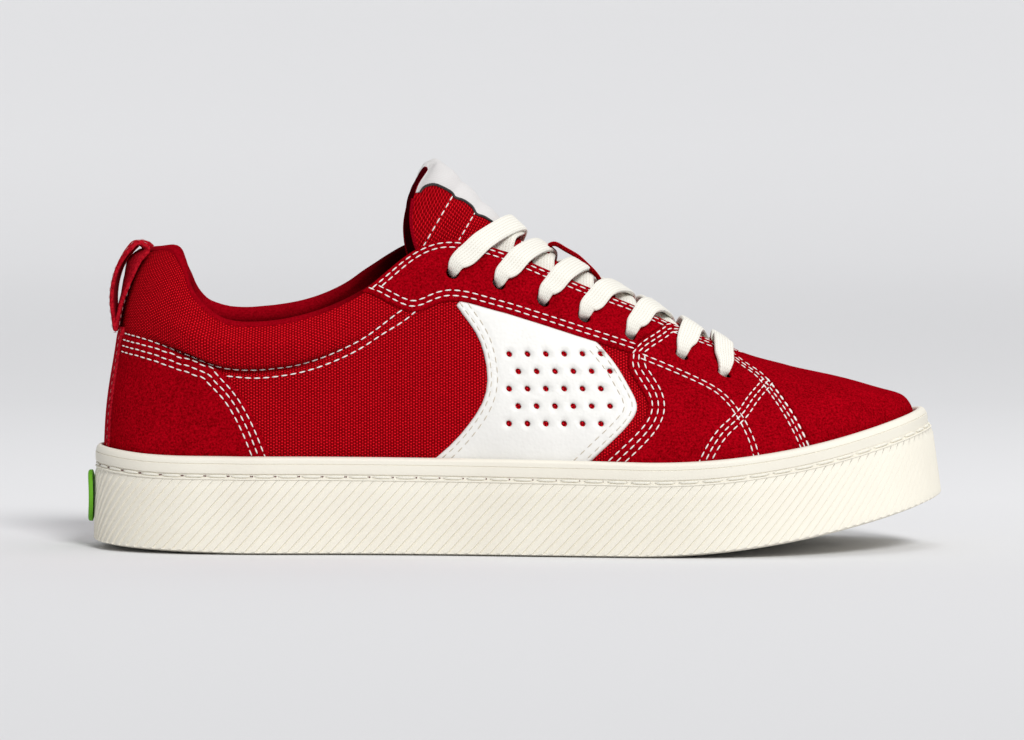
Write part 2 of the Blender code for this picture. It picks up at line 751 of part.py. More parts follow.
def build_insole(collection):
    inset = lambda x: upper_inset(x) + WALL + 0.6
    count = STATIONS // 2
    points, faces = [], []
    for up, inner in ((GAP, 0.6), (GAP + 0.8, 0.0), (GAP + INSOLE_THICK - 1.0, 0.0), (GAP + INSOLE_THICK, 1.2)):
        ring = sole_ring(count, lambda x: inset(x) + inner, lambda x: wall("floor", x) + up)
        points.extend(ring)
    for level in range(3):
        for k in range(count):
            n = (k + 1) % count
            faces.append((level * count + k, level * count + n, (level + 1) * count + n, (level + 1) * count + k))
    faces += cap_faces(0, count) + cap_faces(3 * count, count)
    return add_object("insole", points, faces, DARK_RED, collection)


# ---- Upper --------------------------------------------------------------------------------------------
def build_upper(collection):
    outer, normals, thick = FACE
    inner = outer - normals * thick[..., None]
    inner[:, 0, 2] = outer[:, 0, 2]
    up = outer[:, -1] - outer[:, -2]
    up /= np.linalg.norm(up, axis=1)[:, None]
    middle = (outer[:, -1] + inner[:, -1]) / 2
    half = (outer[:, -1] - inner[:, -1]) / 2
    roll = []
    for degrees in (45, 90, 135):
        turn = math.radians(degrees)
        lift = up * (math.sin(turn) * 0.8 * thick[:, -1] / 2)[:, None]
        roll.append(middle + half * math.cos(turn) + lift)
    inner_rows = [0, 3, 6, 8, 10]
    loops = np.concatenate([outer, np.stack(roll, axis=1), inner[:, inner_rows[::-1]]], axis=1)
    return add_tube("upper", loops, RED_CANVAS, collection)


# ---- Tongue -------------------------------------------------------------------------------------------
TONGUE_ACROSS = 9


def tongue_grid():
    """Face of the tongue as rows from its top end to the toe, its normals and its thickness."""
    rows = np.array(TONGUE)
    shares = np.linspace(-1.0, 1.0, TONGUE_ACROSS)
    grid = np.empty((len(rows), TONGUE_ACROSS, 3))
    for i, (x, middle, z, edge_x, edge_z, half, turn, _) in enumerate(rows):
        widest = math.radians(turn)
        angle = shares * widest
        back = (1 - np.cos(angle)) / (1 - math.cos(widest))
        grid[i, :, 0] = x + (edge_x - x) * back
        grid[i, :, 1] = middle + half * np.sin(angle) / math.sin(widest)
        grid[i, :, 2] = z + (edge_z - z) * back
    normals = -normals_of(grid, False)
    if normals[len(rows) // 2, TONGUE_ACROSS // 2, 2] < 0:
        normals = -normals
    return grid, normals, rows[:, -1]


def build_tongue(collection):
    face, normals, thick = tongue_grid()
    shares = np.linspace(-1.0, 1.0, TONGUE_ACROSS)
    taper = np.sqrt(1 - 0.85 * np.abs(shares) ** 3)
    depth = thick[:, None] * taper[None, :]
    return add_slab("tongue", face, face - normals * depth[..., None], RED_CANVAS, collection)


# ---- Panels on the upper ------------------------------------------------------------------------------
def hide(obj, collection):
    """Marks a cutter, which the shoe leaves out."""
    obj.hide_render = True
    obj.display_type = "WIRE"
    for other in list(obj.users_collection):
        other.objects.unlink(obj)
    collection.objects.link(obj)


def add_prism(name, outline, low_y, high_y, cutters):
    """A side-view outline of (x, z) points pushed across from one y to another."""
    count = len(outline)
    points = [(x, y, z) for y in (low_y, high_y) for x, z in outline]
    faces = [tuple(range(count)), tuple(range(2 * count - 1, count - 1, -1))]
    faces += [(i, i + count, (i + 1) % count + count, (i + 1) % count) for i in range(count)]
    prism = add_object(name, points, faces, None, cutters)
    hide(prism, cutters)
    return prism


def cut(obj, cutter, operation):
    boolean = obj.modifiers.new(cutter.name, "BOOLEAN")
    boolean.operation = operation
    boolean.object = cutter
    boolean.solver = "EXACT"


def side_line(points):
    return [tuple(p) for p in curve_through(np.array(points), 2)]


def add_panel(name, outline, columns, span, look, collections, low=GAP, high=GAP + PANEL):
    """A sheet over the upper's face, cut to a side-view outline between two values of y."""
    shoe, cutters = collections
    outer, normals, _ = FACE
    index = [i % STATIONS for i in columns]
    skin, out = outer[index], normals[index]
    panel = add_slab(name, skin + high * out, skin + low * out, look, shoe)
    cut(panel, add_prism(name + "_outline", outline, *span, cutters), "INTERSECT")
    return panel


FAR = 90.0  # beyond the shoe on either side
BACK_SEAM = 2.0  # y of the back seam
HALF_STATIONS = STATIONS // 2
SPANS = {"lateral": (-FAR, 1.0), "medial": (1.0, FAR)}
SIDES_NAMED = {"lateral": -1, "medial": 1}


def side_columns(side, first, final):
    """Columns from first to final, counted from the heel along one side."""
    if side == "lateral":
        return list(range(first, final + 1))
    return [STATIONS - i for i in range(final, first - 1, -1)]


def build_counters(collections):
    outline = side_line(COUNTER_EDGE) + [(-152.0, 24.0)]
    edge_y = WEBBING_WIDTH / 2 + GAP
    spans = {"lateral": (-FAR, BACK_SEAM - edge_y), "medial": (BACK_SEAM + edge_y, FAR)}
    for side, span in spans.items():
        add_panel("heel_counter_" + side, outline, side_columns(side, 0, 11), span, RED_SUEDE, collections)


def build_back_strip(collections):
    outline = [(-152.0, 24.0), (-120.0, 24.0), (-120.0, 76.4), (-152.0, 76.4)]
    span = (BACK_SEAM - WEBBING_WIDTH / 2, BACK_SEAM + WEBBING_WIDTH / 2)
    columns = list(range(-2, 3))
    add_panel("back_strip", outline, columns, span, RED_CANVAS, collections, high=GAP + 1.4)


def build_eyestays(collections):
    outline = side_line(EYESTAY_EDGE) + side_line(FACING_SEAM)[1:] + [(60.0, 125.0), (-70.0, 125.0)]
    for side, span in SPANS.items():
        add_panel("eyestay_" + side, outline, side_columns(side, 8, 29), span, RED_SUEDE, collections)


def build_forefoot_panels(collections):
    rear = side_line(FACING_SEAM[::-1])[:-1] + side_line(FOREFOOT_EDGE)
    rear = [(x + GAP, z - GAP) for x, z in rear]
    outline = rear + side_line(TOE_CAP_EDGE)[::-1] + [(75.0, 95.0)]
    for side, span in SPANS.items():
        add_panel("forefoot_panel_" + side, outline, side_columns(side, 16, 32), span, RED_SUEDE, collections)


def build_toe_cap(collections):
    rear = [(x + GAP, z + GAP) for x, z in side_line(TOE_CAP_EDGE)]
    outline = rear + [(150.0, 37.0), (150.0, 95.0), (75.0, 95.0)]
    columns = list(range(HALF_STATIONS - 16, HALF_STATIONS + 17))
    add_panel("toe_cap", outline, columns, (-FAR, FAR), RED_SUEDE, collections)


def build_side_panels(collections):
    top = [(x, z - 2 * GAP) for x, z in side_line(EYESTAY_EDGE)]
    lid = [(x, z) for x, z in top if SIDE_PANEL_REAR[-1][0] < x < SIDE_PANEL_FRONT[0][0]]
    outline = side_line(SIDE_PANEL_REAR) + lid + side_line(SIDE_PANEL_FRONT)
    for side, span in SPANS.items():
        add_panel("side_panel_" + side, outline, side_columns(side, 9, 24), span, WHITE_LEATHER, collections)


def eyelet_places(side):
    """Centre of each lace hole on the upper's face, and the way it is punched."""
    places = []
    for x, z, _ in EYELETS:
        places.append(face_place(x, z, side, 0.0))
    return places


def punch_eyelets(collections):
    shoe, cutters = collections
    for name, side in SIDES_NAMED.items():
        for k, (place, way) in enumerate(eyelet_places(side), start=1):
            bpy.ops.mesh.primitive_cylinder_add(vertices=8, radius=EYELET_HOLE * MM, depth=9 * MM)
            punch = bpy.context.object
            punch.name = f"punch_{name}_{k}"
            punch.location = [float(v) * MM for v in place]
            punch.rotation_euler = Vector(way).to_track_quat("Z", "Y").to_euler()
            hide(punch, cutters)
            facing = ("eyestay_" if k <= 5 else "forefoot_panel_") + name
            for piece in ("upper", facing):
                cut(shoe.objects[piece], punch, "DIFFERENCE")


# ---- Pull loop, badge, label, laces -------------------------------------------------------------------
def heel_line(height, offset):
    """Point beside the heel's middle line, at a height and an offset from the upper."""
    outer, normals, _ = FACE
    back, way = outer[0], normals[0]
    x, out_x, out_z = (np.interp(height, back[:, 2], values) for values in (back[:, 0], way[:, 0], way[:, 2]))
    return (float(x + offset * out_x), height + offset * float(out_z))


def build_pull_loop(collection):
    inner = [heel_line(z, 2 * GAP + WEBBING / 2) for z in LOOP_HEIGHTS]
    line = curve_through(np.array([*PULL_LOOP, *inner]), 2, closed=True)
    along = np.roll(line, -1, axis=0) - np.roll(line, 1, axis=0)
    out = np.stack([-along[:, 1], along[:, 0]], axis=1)
    out /= np.linalg.norm(out, axis=1)[:, None]
    shares = np.linspace(-1.0, 1.0, 3)
    hug = np.clip((line[:, 0] + 143.0) / 5.0, 0.2, 1.0)  # only the webbing against the heel bends round it
    rows = []
    for sign in (1, -1):
        ring = line + sign * out * WEBBING / 2
        bend = (shares * WEBBING_WIDTH / 2) ** 2 / 68.0 * hug[:, None]
        grid = np.empty((len(line), len(shares), 3))
        grid[..., 0] = ring[:, 0][:, None] + bend
        grid[..., 1] = BACK_SEAM + shares * WEBBING_WIDTH / 2
        grid[..., 2] = ring[:, 1][:, None]
        rows.append(grid)
    loops = np.concatenate([rows[0], rows[1][:, ::-1]], axis=1)
    return add_tube("pull_loop", loops, RED_CANVAS, collection)


def build_heel_badge(collection):
    half_width, half_height, thick = BADGE
    shape = bmesh.new()
    bmesh.ops.create_cone(
        shape, cap_ends=True, cap_tris=True, segments=20, radius1=1.0, radius2=0.94, depth=1.0
    )
    for vert in shape.verts:
        across, up, out = vert.co.x * half_width, vert.co.y * half_height, (vert.co.z + 0.5) * thick
        x = HEEL_TIP[0] - 2 * GAP - out + across**2 / (2 * HEEL_RADIUS)
        vert.co = Vector((x, BACK_SEAM + across, BADGE_HEIGHT + up)) * MM
    bmesh.ops.recalc_face_normals(shape, faces=shape.faces)
    mesh = bpy.data.meshes.new("heel_badge")
    shape.to_mesh(mesh)
    shape.free()
    mesh.materials.append(material_of(GREEN_RUBBER))
    collection.objects.link(bpy.data.objects.new("heel_badge", mesh))


def build_label(collections):
    shoe, cutters = collections
    face, normals, thick = tongue_grid()
    back = face - normals * thick[:, None, None]
    up = face[0] - face[1]
    up /= np.linalg.norm(up, axis=1)[:, None]
    skins = []
    for lift in (2 * GAP + LABEL, 2 * GAP):
        behind = [back[1] - normals[1] * lift, back[0] - normals[0] * lift]
        over = [back[0] + (up - normals[0]) * lift, face[0] + (up + normals[0]) * lift]
        skins.append(np.stack([*behind, *over, *(face + normals * lift)[:5]]))
    outline = LABEL_EDGE + ((0.0, 150.0), (-60.0, 150.0))
    label = add_slab("tongue_label", skins[0], skins[1], WHITE_LABEL, shoe)
    cut(label, add_prism("tongue_label_outline", outline, -FAR, FAR, cutters), "INTERSECT")


def tongue_finder():
    """A function giving the tongue's height over a plan point, from a fine copy of its face."""
    face, _, _ = tongue_grid()
    lengthwise = np.stack([at_shares(line, np.linspace(0, 1, 90)) for line in face.transpose(1, 0, 2)], axis=1)
    fine = np.stack([at_shares(line, np.linspace(0, 1, 61)) for line in lengthwise])
    points = fine.reshape(-1, 3)

    def height(x, y):
        distance = np.hypot(points[:, 0] - x, points[:, 1] - y)
        near = np.argsort(distance)[:4]
        weight = 1 / (distance[near] + 0.05)
        return float((points[near, 2] * weight).sum() / weight.sum())

    return height


def face_place(x, z, side, lift):
    """A point lifted off the upper's face beside a side-view place, and the face's normal there."""
    point = side_point(x, z, side)
    step = 2.0
    slope_x = surface_height(x + step, point[1]) - surface_height(x - step, point[1])
    slope_y = surface_height(x, point[1] + step) - surface_height(x, point[1] - step)
    way = np.array([-float(slope_x) / (2 * step), -float(slope_y) / (2 * step), 1.0])
    way /= np.linalg.norm(way)
    return point + lift * way, way


def throat_half(x):
    """Half width of the throat in its closed front part."""
    share = math.asin(min(max(x - THROAT_BEND, 0.0) / (THROAT_END - THROAT_BEND), 1.0)) / (math.pi / 2)
    bend = side_point(THROAT_BEND, float(edge("lateral", THROAT_BEND)), -1)
    return throat_end(share, abs(bend[1] - float(last("centre", THROAT_BEND))))[1]


def throat_height(x):
    """Height of the throat's edge where the laces pass over it."""
    if x <= THROAT_BEND:
        return float(edge("lateral", x))
    return float(surface_height(x, float(last("centre", x)) - throat_half(x)))


ON_PANEL = 2 * GAP + PANEL + LACE_THICK / 2  # height of a lace's middle over the upper's face


def lace_over_facing(k, side):
    """Places and normals of a lace from the throat's edge down to eyelet k."""
    x, z, crossing = EYELETS[k]
    ahead = crossing - x
    top = throat_height(x + 0.48 * ahead)
    places = [
        (x + 0.48 * ahead, top - 0.3, ON_PANEL + 1.7),
        (x + 0.22 * ahead, 0.5 * top + 0.5 * z + 0.5, ON_PANEL + 0.6),
        (x, z + 0.8, ON_PANEL + 0.2),
    ]
    return [face_place(px, pz, side, lift) for px, pz, lift in places]


def lace_middle(x, extra):
    """Place and normal of a lace over the middle of the tongue."""
    rise = TONGUE_HEIGHT(x + 3, 0.0) - TONGUE_HEIGHT(x - 3, 0.0)
    way = np.array([-rise / 6, 0.0, 1.0])
    way /= np.linalg.norm(way)
    return np.array([x, 0.0, TONGUE_HEIGHT(x, 0.0)]) + way * (LACE_LIFT + LACE_THICK / 2 + extra), way


def lace_start(k, side):
    """Place and normal of the lace to crossing k, where it comes out from under the facing opposite."""
    ahead = EYELETS[k + 1][0]
    x = ahead + 0.5 * (EYELETS[k][2] - ahead)
    y = float(last("centre", x)) + side * min(11.0, throat_half(x + LACE_WIDTH / 2) - 3.0)
    lean = (TONGUE_HEIGHT(x, y) - TONGUE_HEIGHT(x, y - side * 3)) / 3
    way = np.array([0.3, -side * lean, 1.0])
    way /= np.linalg.norm(way)
    return np.array([x, y, TONGUE_HEIGHT(x, y)]) + way * (LACE_LIFT + LACE_THICK / 2 + 0.3), way


def add_strap(name, places, collection):
    """A flat lace through the given places, lying square to their normals."""
    line = curve_through(np.array([place for place, _ in places]), 2)
    ways = curve_through(np.array([way for _, way in places]) + 1e-6 * np.arange(len(places))[:, None], 2)
    along = np.gradient(line, axis=0)
    wide = np.cross(along, ways)
    wide /= np.linalg.norm(wide, axis=1)[:, None]
    thick = np.cross(wide, along)
    thick /= np.linalg.norm(thick, axis=1)[:, None]
    grid = np.stack([line - wide * LACE_WIDTH / 2, line + wide * LACE_WIDTH / 2], axis=1)
    lift = thick[:, None] * LACE_THICK / 2
    return add_slab(name, grid + lift, grid - lift, CREAM_LACE, collection)


def build_laces(collections):
    shoe, cutters = collections
    for k in range(len(EYELETS) - 1):
        middle = EYELETS[k][2]
        under = [lace_start(k, -1), lace_middle(middle, 0.0), *lace_over_facing(k, 1)]
        over = [lace_start(k, 1), lace_middle(middle, LACE_THICK - 0.2), *lace_over_facing(k, -1)]
        crossing = add_strap(f"lace_crossing_{k + 1}", over, shoe)
        below = add_strap(f"lace_under_{k + 1}", under, cutters)
        hide(below, cutters)
        cut(crossing, below, "UNION")
    front = len(EYELETS) - 1
    bar = lace_over_facing(front, -1)[::-1] + [lace_middle(EYELETS[front][2], 3.6)]
    add_strap("lace_front_bar", bar + lace_over_facing(front, 1), shoe)


def build_keeper(collection):
    line = []
    for x, lift in curve_through(np.array(KEEPER), 2):
        place, way = lace_middle(x, lift - LACE_LIFT - LACE_THICK / 2)
        line.append((place, way))
    places = np.array([place for place, _ in line])
    ways = np.array([way for _, way in line])
    along = np.gradient(places, axis=0)
    across = np.array([0.0, 1.0, 0.0])
    out = np.cross(along, across)
    out /= np.linalg.norm(out, axis=1)[:, None]
    out *= np.sign((out * ways).sum(axis=1))[:, None]
    shares = np.linspace(-1.0, 1.0, 3)[None, :, None]
    grid = places[:, None] + shares * across * KEEPER_HALF
    thick = out[:, None] * KEEPER_THICK / 2
    return add_slab("lace_keeper", grid + thick, grid - thick, RED_CANVAS, collection)


def build_panels(collections):
    build_counters(collections)
    build_back_strip(collections)
    build_eyestays(collections)
    build_forefoot_panels(collections)
    build_toe_cap(collections)
    build_side_panels(collections)
    punch_eyelets(collections)


FACE = upper_faces(STATIONS, ROWS)
TONGUE_HEIGHT = tongue_finder()


def clear_scene():
    for obj in list(bpy.data.objects):
        bpy.data.objects.remove(obj)


def main():
    clear_scene()
    shoe = bpy.data.collections.new("skate_shoe")
    cutters = bpy.data.collections.new("cutters")
    for collection in (shoe, cutters):
        bpy.context.scene.collection.children.link(collection)
    build_sole(shoe)
    build_heel_badge(shoe)
    build_insole(shoe)
    build_upper(shoe)
    build_tongue(shoe)
    build_label((shoe, cutters))
    build_panels((shoe, cutters))
    build_pull_loop(shoe)
    build_laces((shoe, cutters))
    build_keeper(shoe)


main()
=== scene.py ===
"""Red low-top skate shoe, right foot: finishes, seams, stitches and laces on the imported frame.

Tables and shape functions work in millimetres; meshes are written in metres. +X runs to the toe, +Z up and
-Y to the lateral (outer) side.
"""

import json
import math

import bpy
import numpy as np
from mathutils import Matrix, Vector
from mathutils.geometry import delaunay_2d_cdt

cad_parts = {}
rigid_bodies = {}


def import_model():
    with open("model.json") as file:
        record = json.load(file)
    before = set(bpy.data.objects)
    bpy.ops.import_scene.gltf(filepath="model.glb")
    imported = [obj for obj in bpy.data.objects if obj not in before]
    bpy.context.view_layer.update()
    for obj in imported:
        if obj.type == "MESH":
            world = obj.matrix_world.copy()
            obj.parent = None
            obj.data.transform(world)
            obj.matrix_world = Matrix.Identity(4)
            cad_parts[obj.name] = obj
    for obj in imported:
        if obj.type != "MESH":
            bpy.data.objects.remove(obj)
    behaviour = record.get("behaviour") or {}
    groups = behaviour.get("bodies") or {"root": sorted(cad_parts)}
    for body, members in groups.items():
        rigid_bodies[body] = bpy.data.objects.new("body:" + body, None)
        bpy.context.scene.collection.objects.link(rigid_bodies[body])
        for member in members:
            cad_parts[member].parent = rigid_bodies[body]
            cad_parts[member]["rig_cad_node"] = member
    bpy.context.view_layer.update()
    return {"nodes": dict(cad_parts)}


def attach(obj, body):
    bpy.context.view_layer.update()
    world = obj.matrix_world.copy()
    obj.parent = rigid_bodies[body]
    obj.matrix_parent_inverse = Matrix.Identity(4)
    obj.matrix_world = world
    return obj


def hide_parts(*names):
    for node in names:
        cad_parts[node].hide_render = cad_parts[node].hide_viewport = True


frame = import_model()
BODY = "root"
MM = 0.001

COLUMNS = 512  # columns of the fine skin round the shoe: heel, lateral side, toe, medial side
ROWS = 97  # rows up each column
HALF = COLUMNS // 2
TOP = ROWS - 1.0
SIDES_NAMED = {"lateral": -1, "medial": 1}
RIB_STEPS = 8  # points across each rib of the sole
RIB_LEVELS = 13  # rings of points up each rib
RIB_RUN = 6  # ribs that each rib leans past on its way up
LACE_WIDTH = 7.6
LACE_THICK = 1.7
SKIN_GAP = 0.05  # panels stand this far off the canvas
GAP = 0.3  # clearance between parts that lie on each other
HEEL_RADIUS = 41.0  # of the sole's back wall, under the badge

# ---- Driving sizes ----
RIBS = 190  # moulded ribs round the sole
RIB_DEPTH = 0.7
RIB_FOOT = 1.2  # height of the plain band under the ribs
RIB_TOP = 8.3  # depth of the ribs' upper end below the rim
TOE_SPRING = 18.5
SPRING_START = 42.0
SPRING_POWER = 1.75
TOE_END = 151.5
HEEL_RISE = 2.2
HEEL_RISE_START = -95.0

WALL = 1.8  # canvas with its lining
CUFF_ROOM = 2.1  # from the cup wall to the canvas: room for a panel and its clearances
TURN_BELOW_RIM = 12.0  # the upper leaves the vertical this far below the rim
HEEL_HUB = -104.0  # the columns fan out round these two points of the centre line
TOE_HUB = 95.0
THROAT_BEND = 40.0  # in front of this the throat closes in a round end
THROAT_END = 78.0

EYELET_HOLE = 2.3  # radius
WEBBING = 1.8  # thickness of the pull loop's webbing
WEBBING_WIDTH = 22.0
BADGE = (8.0, 9.2, 1.4)  # half width, half height and thickness
BADGE_HEIGHT = 18.2

# Plan outline of the ribbed wall from heel to toe: x, and y of its lateral and medial side.
HEEL_TIP = (-151.2, 2.0)
TOE_TIP = (TOE_END, 6.5)
SOLE_PLAN = (
    (-147.0, -15.7, 19.7), (-136.8, -27.5, 31.5), (-120.0, -35.5, 39.5), (-95.0, -39.0, 42.0),
    (-60.0, -39.5, 40.0), (-25.0, -42.5, 37.5), (10.0, -48.0, 40.5), (45.0, -53.0, 48.5), (75.0, -54.0, 54.0),
    (100.0, -49.0, 54.0), (120.0, -39.5, 49.0), (136.8, -26.5, 39.0), (147.2, -11.5, 24.5),
)

# Side wall of the cup: height above the bottom line, cup floor above it, lean of the wall, rim thickness,
# and how far down the rim's outer edge is rounded.
SOLE_WALL_COLUMNS = ("x", "side", "floor", "lean", "rim", "round")
SOLE_WALL = (
    (-151.0, 34.8, 12.8, 0.8, 2.2, 3.0), (-135.0, 33.8, 13.6, 0.9, 2.4, 2.4),
    (-100.0, 34.3, 14.4, 1.2, 3.0, 1.4), (-40.0, 34.1, 13.0, 1.5, 3.4, 1.2), (30.0, 33.3, 10.5, 1.6, 3.6, 1.2),
    (75.0, 32.3, 9.0, 2.0, 3.8, 1.4), (110.0, 32.3, 8.5, 3.0, 4.1, 2.2), (136.0, 33.0, 8.5, 4.3, 4.1, 4.0),
    (151.0, 33.4, 8.5, 5.0, 4.0, 4.8),
)

# Cross-sections of the upper: centre line, height of the (sometimes open) ridge, and two points of the
# wall as shares of the half width (reach) and of the height from the turn line to the ridge (rise).
LAST_COLUMNS = ("x", "centre", "ridge", "mid_reach", "mid_rise", "shoulder_reach", "shoulder_rise")
LAST = (
    (-146.0, 2.0, 125.0, 0.922, 0.410, 0.674, 0.790),
    (-125.0, 2.0, 124.0, 0.945, 0.380, 0.800, 0.700),
    (-104.0, 2.0, 121.0, 0.975, 0.340, 0.920, 0.580),
    (-80.0, 1.5, 120.0, 0.980, 0.330, 0.920, 0.580),
    (-50.0, 1.0, 122.0, 0.960, 0.380, 0.770, 0.700),
    (-20.0, 0.5, 117.0, 0.950, 0.420, 0.600, 0.914),
    (0.0, 0.5, 110.5, 0.900, 0.431, 0.520, 0.921),
    (40.0, 1.0, 90.5, 0.800, 0.526, 0.400, 0.943),
    (60.0, 2.0, 79.0, 0.820, 0.530, 0.360, 0.956),
    (77.0, 3.0, 69.3, 0.840, 0.545, 0.360, 0.947),
    (95.0, 4.0, 63.8, 0.860, 0.560, 0.420, 0.945),
    (120.0, 5.5, 59.2, 0.900, 0.680, 0.550, 0.930),
    (140.0, 6.5, 55.1, 0.969, 0.767, 0.725, 0.914),
)

# Height of the collar and throat edge on each side, height of the seam under the padded collar, how far
# the padding swells outwards, and how much thickness it adds.
EDGE_COLUMNS = ("x", "lateral", "medial", "pad_seam", "puff", "padding")
EDGE = (
    (-146.0, 106.2, 106.2, 77.0, 0.2, 4.5),
    (-134.0, 106.2, 105.2, 75.0, 0.4, 4.5),
    (-130.0, 104.6, 102.2, 74.0, 0.6, 4.7),
    (-127.5, 102.9, 99.9, 73.2, 0.8, 5.0),
    (-125.5, 101.3, 98.1, 72.6, 0.9, 5.1),
    (-123.5, 99.6, 96.2, 71.9, 1.0, 5.3),
    (-121.5, 97.3, 94.0, 71.2, 1.2, 5.4),
    (-119.6, 94.3, 91.7, 70.5, 1.3, 5.5),
    (-117.0, 90.9, 88.9, 69.6, 1.4, 5.5),
    (-113.5, 87.5, 86.1, 68.3, 1.6, 5.5),
    (-109.0, 84.2, 84.3, 66.5, 1.8, 5.5),
    (-104.0, 81.3, 83.2, 65.0, 1.8, 5.5),
    (-98.0, 79.8, 82.8, 64.2, 1.8, 5.5),
    (-92.0, 79.7, 83.2, 64.1, 1.8, 5.5),
    (-85.0, 80.2, 84.0, 64.7, 1.8, 5.5),
    (-77.0, 81.7, 85.6, 65.9, 1.8, 5.5),
    (-69.0, 84.1, 88.4, 68.3, 1.7, 5.1),
    (-61.0, 87.6, 92.7, 71.6, 1.3, 4.1),
    (-55.5, 90.8, 96.9, 74.3, 0.9, 2.9),
    (-52.0, 93.2, 99.4, 76.4, 0.6, 2.1),
    (-47.0, 97.5, 103.0, 80.0, 0.3, 1.0),
    (-41.0, 102.6, 106.7, 84.5, 0.0, 0.2),
    (-34.0, 107.0, 109.2, 88.0, 0.0, 0.0),
    (-27.0, 109.3, 109.8, 90.0, 0.0, 0.0),
    (-19.0, 109.3, 109.3, 90.0, 0.0, 0.0),
    (-7.0, 106.2, 106.2, 88.0, 0.0, 0.0),
    (5.0, 101.3, 101.3, 84.0, 0.0, 0.0),
    (19.0, 95.2, 95.2, 80.0, 0.0, 0.0),
    (40.0, 86.6, 86.6, 74.0, 0.0, 0.0),
)

# Lace holes of one side as seen from the side, from the top one to the toe: x, z, and the x where the lace
# that enters each pair crosses the middle of the tongue.
EYELETS = (
    (-22.8, 98.3, -2.0), (-6.7, 94.5, 8.8), (8.8, 88.5, 22.3), (23.2, 82.9, 36.5), (39.6, 76.6, 50.0),
    (57.5, 69.2, 63.0), (72.3, 62.5, 69.8),
)

# Tongue sections from its top end to the end under the vamp: x, y and z of the middle of its face, x and z of
# its side edge, half width, how many degrees the section turns on each side, and the thickness.
TONGUE = (
    (-28.5, -1.0, 137.6, -32.5, 133.6, 15.0, 66.0, 3.0),
    (-25.5, -1.0, 135.8, -38.0, 125.0, 18.0, 84.0, 5.0),
    (-19.0, -1.3, 129.5, -40.5, 112.0, 17.0, 88.0, 5.5),
    (-9.0, -1.3, 119.5, -36.0, 97.0, 17.5, 86.0, 5.5),
    (3.0, -2.0, 108.6, -19.0, 86.0, 20.5, 82.0, 5.0),
    (20.0, -2.0, 98.6, 5.0, 76.0, 21.5, 78.0, 4.5),
    (40.0, -1.0, 87.5, 30.0, 66.5, 22.5, 74.0, 4.0),
    (60.0, 1.0, 75.5, 53.0, 58.5, 23.5, 66.0, 3.5),
    (76.0, 2.5, 65.0, 72.0, 51.5, 24.0, 60.0, 3.0),
    (90.0, 3.5, 59.5, 87.0, 48.5, 24.0, 56.0, 3.0),
)

# Edges of the panels as seen from the side; the medial side repeats them.
COUNTER_EDGE = (
    (-152.0, 77.0), (-138.0, 75.6), (-124.0, 72.1), (-115.8, 69.3), (-106.4, 65.4), (-98.4, 57.8),
    (-92.1, 47.3), (-86.9, 34.6), (-83.0, 24.0),
)
EYESTAY_EDGE = (
    (-56.0, 94.5), (-45.5, 87.8), (-38.5, 84.9), (-34.6, 84.9), (-24.1, 88.5), (-7.3, 84.9), (23.1, 75.4),
    (39.0, 70.3),
)
FACING_SEAM = (
    (39.0, 70.3), (42.3, 74.0), (46.9, 76.8), (52.5, 80.5), (60.0, 88.0),
)
FOREFOOT_EDGE = (
    (39.0, 70.3), (38.6, 65.5), (41.7, 59.9), (44.6, 55.1), (45.4, 51.9), (44.4, 48.3), (41.0, 44.0),
    (30.9, 34.6), (23.0, 27.0),
)
TOE_CAP_EDGE = (
    (75.0, 72.0), (82.0, 65.5), (86.6, 62.0), (92.5, 55.0), (97.3, 47.8), (101.8, 38.5), (105.5, 29.0),
)
SIDE_PANEL_FRONT = (
    (29.0, 72.6), (34.0, 66.5), (38.4, 59.3), (41.3, 53.4), (41.4, 50.4), (38.4, 45.6), (29.0, 36.4),
    (18.0, 26.0),
)
SIDE_PANEL_REAR = (
    (-38.0, 26.0), (-20.0, 42.0), (-11.0, 57.0), (-13.0, 74.0), (-21.5, 87.0),
)

# Middle line of the pull loop's outer webbing, from its foot to the top.
PULL_LOOP = (
    (-142.9, 77.6), (-143.6, 82.0), (-144.2, 88.0), (-143.6, 94.2), (-141.6, 100.6), (-138.8, 105.8),
    (-136.1, 108.4),
)
LOOP_HEIGHTS = (105.5, 101.0, 96.0, 91.0, 86.0, 81.0)  # where its inner webbing lies against the heel


# ---- Tables and curves ----
def cubic(t, width, low, low_slope, high, high_slope):
    """A cubic from low to high over a step of the given width, with a slope at each end."""
    return (
        (2 * t**3 - 3 * t**2 + 1) * low
        + (t**3 - 2 * t**2 + t) * width * low_slope
        + (3 * t**2 - 2 * t**3) * high
        + (t**3 - t**2) * width * high_slope
    )


def smooth(table, columns, name, at):
    """The named column of a table at the given x, joined by a smooth curve through its rows."""
    knots = np.array([row[0] for row in table])
    values = np.array([row[columns.index(name)] for row in table])
    slopes = np.gradient(values, knots)
    at = np.clip(np.asarray(at, float), knots[0], knots[-1])
    index = np.clip(np.searchsorted(knots, at) - 1, 0, len(knots) - 2)
    width = knots[index + 1] - knots[index]
    t = (at - knots[index]) / width
    return cubic(t, width, values[index], slopes[index], values[index + 1], slopes[index + 1])


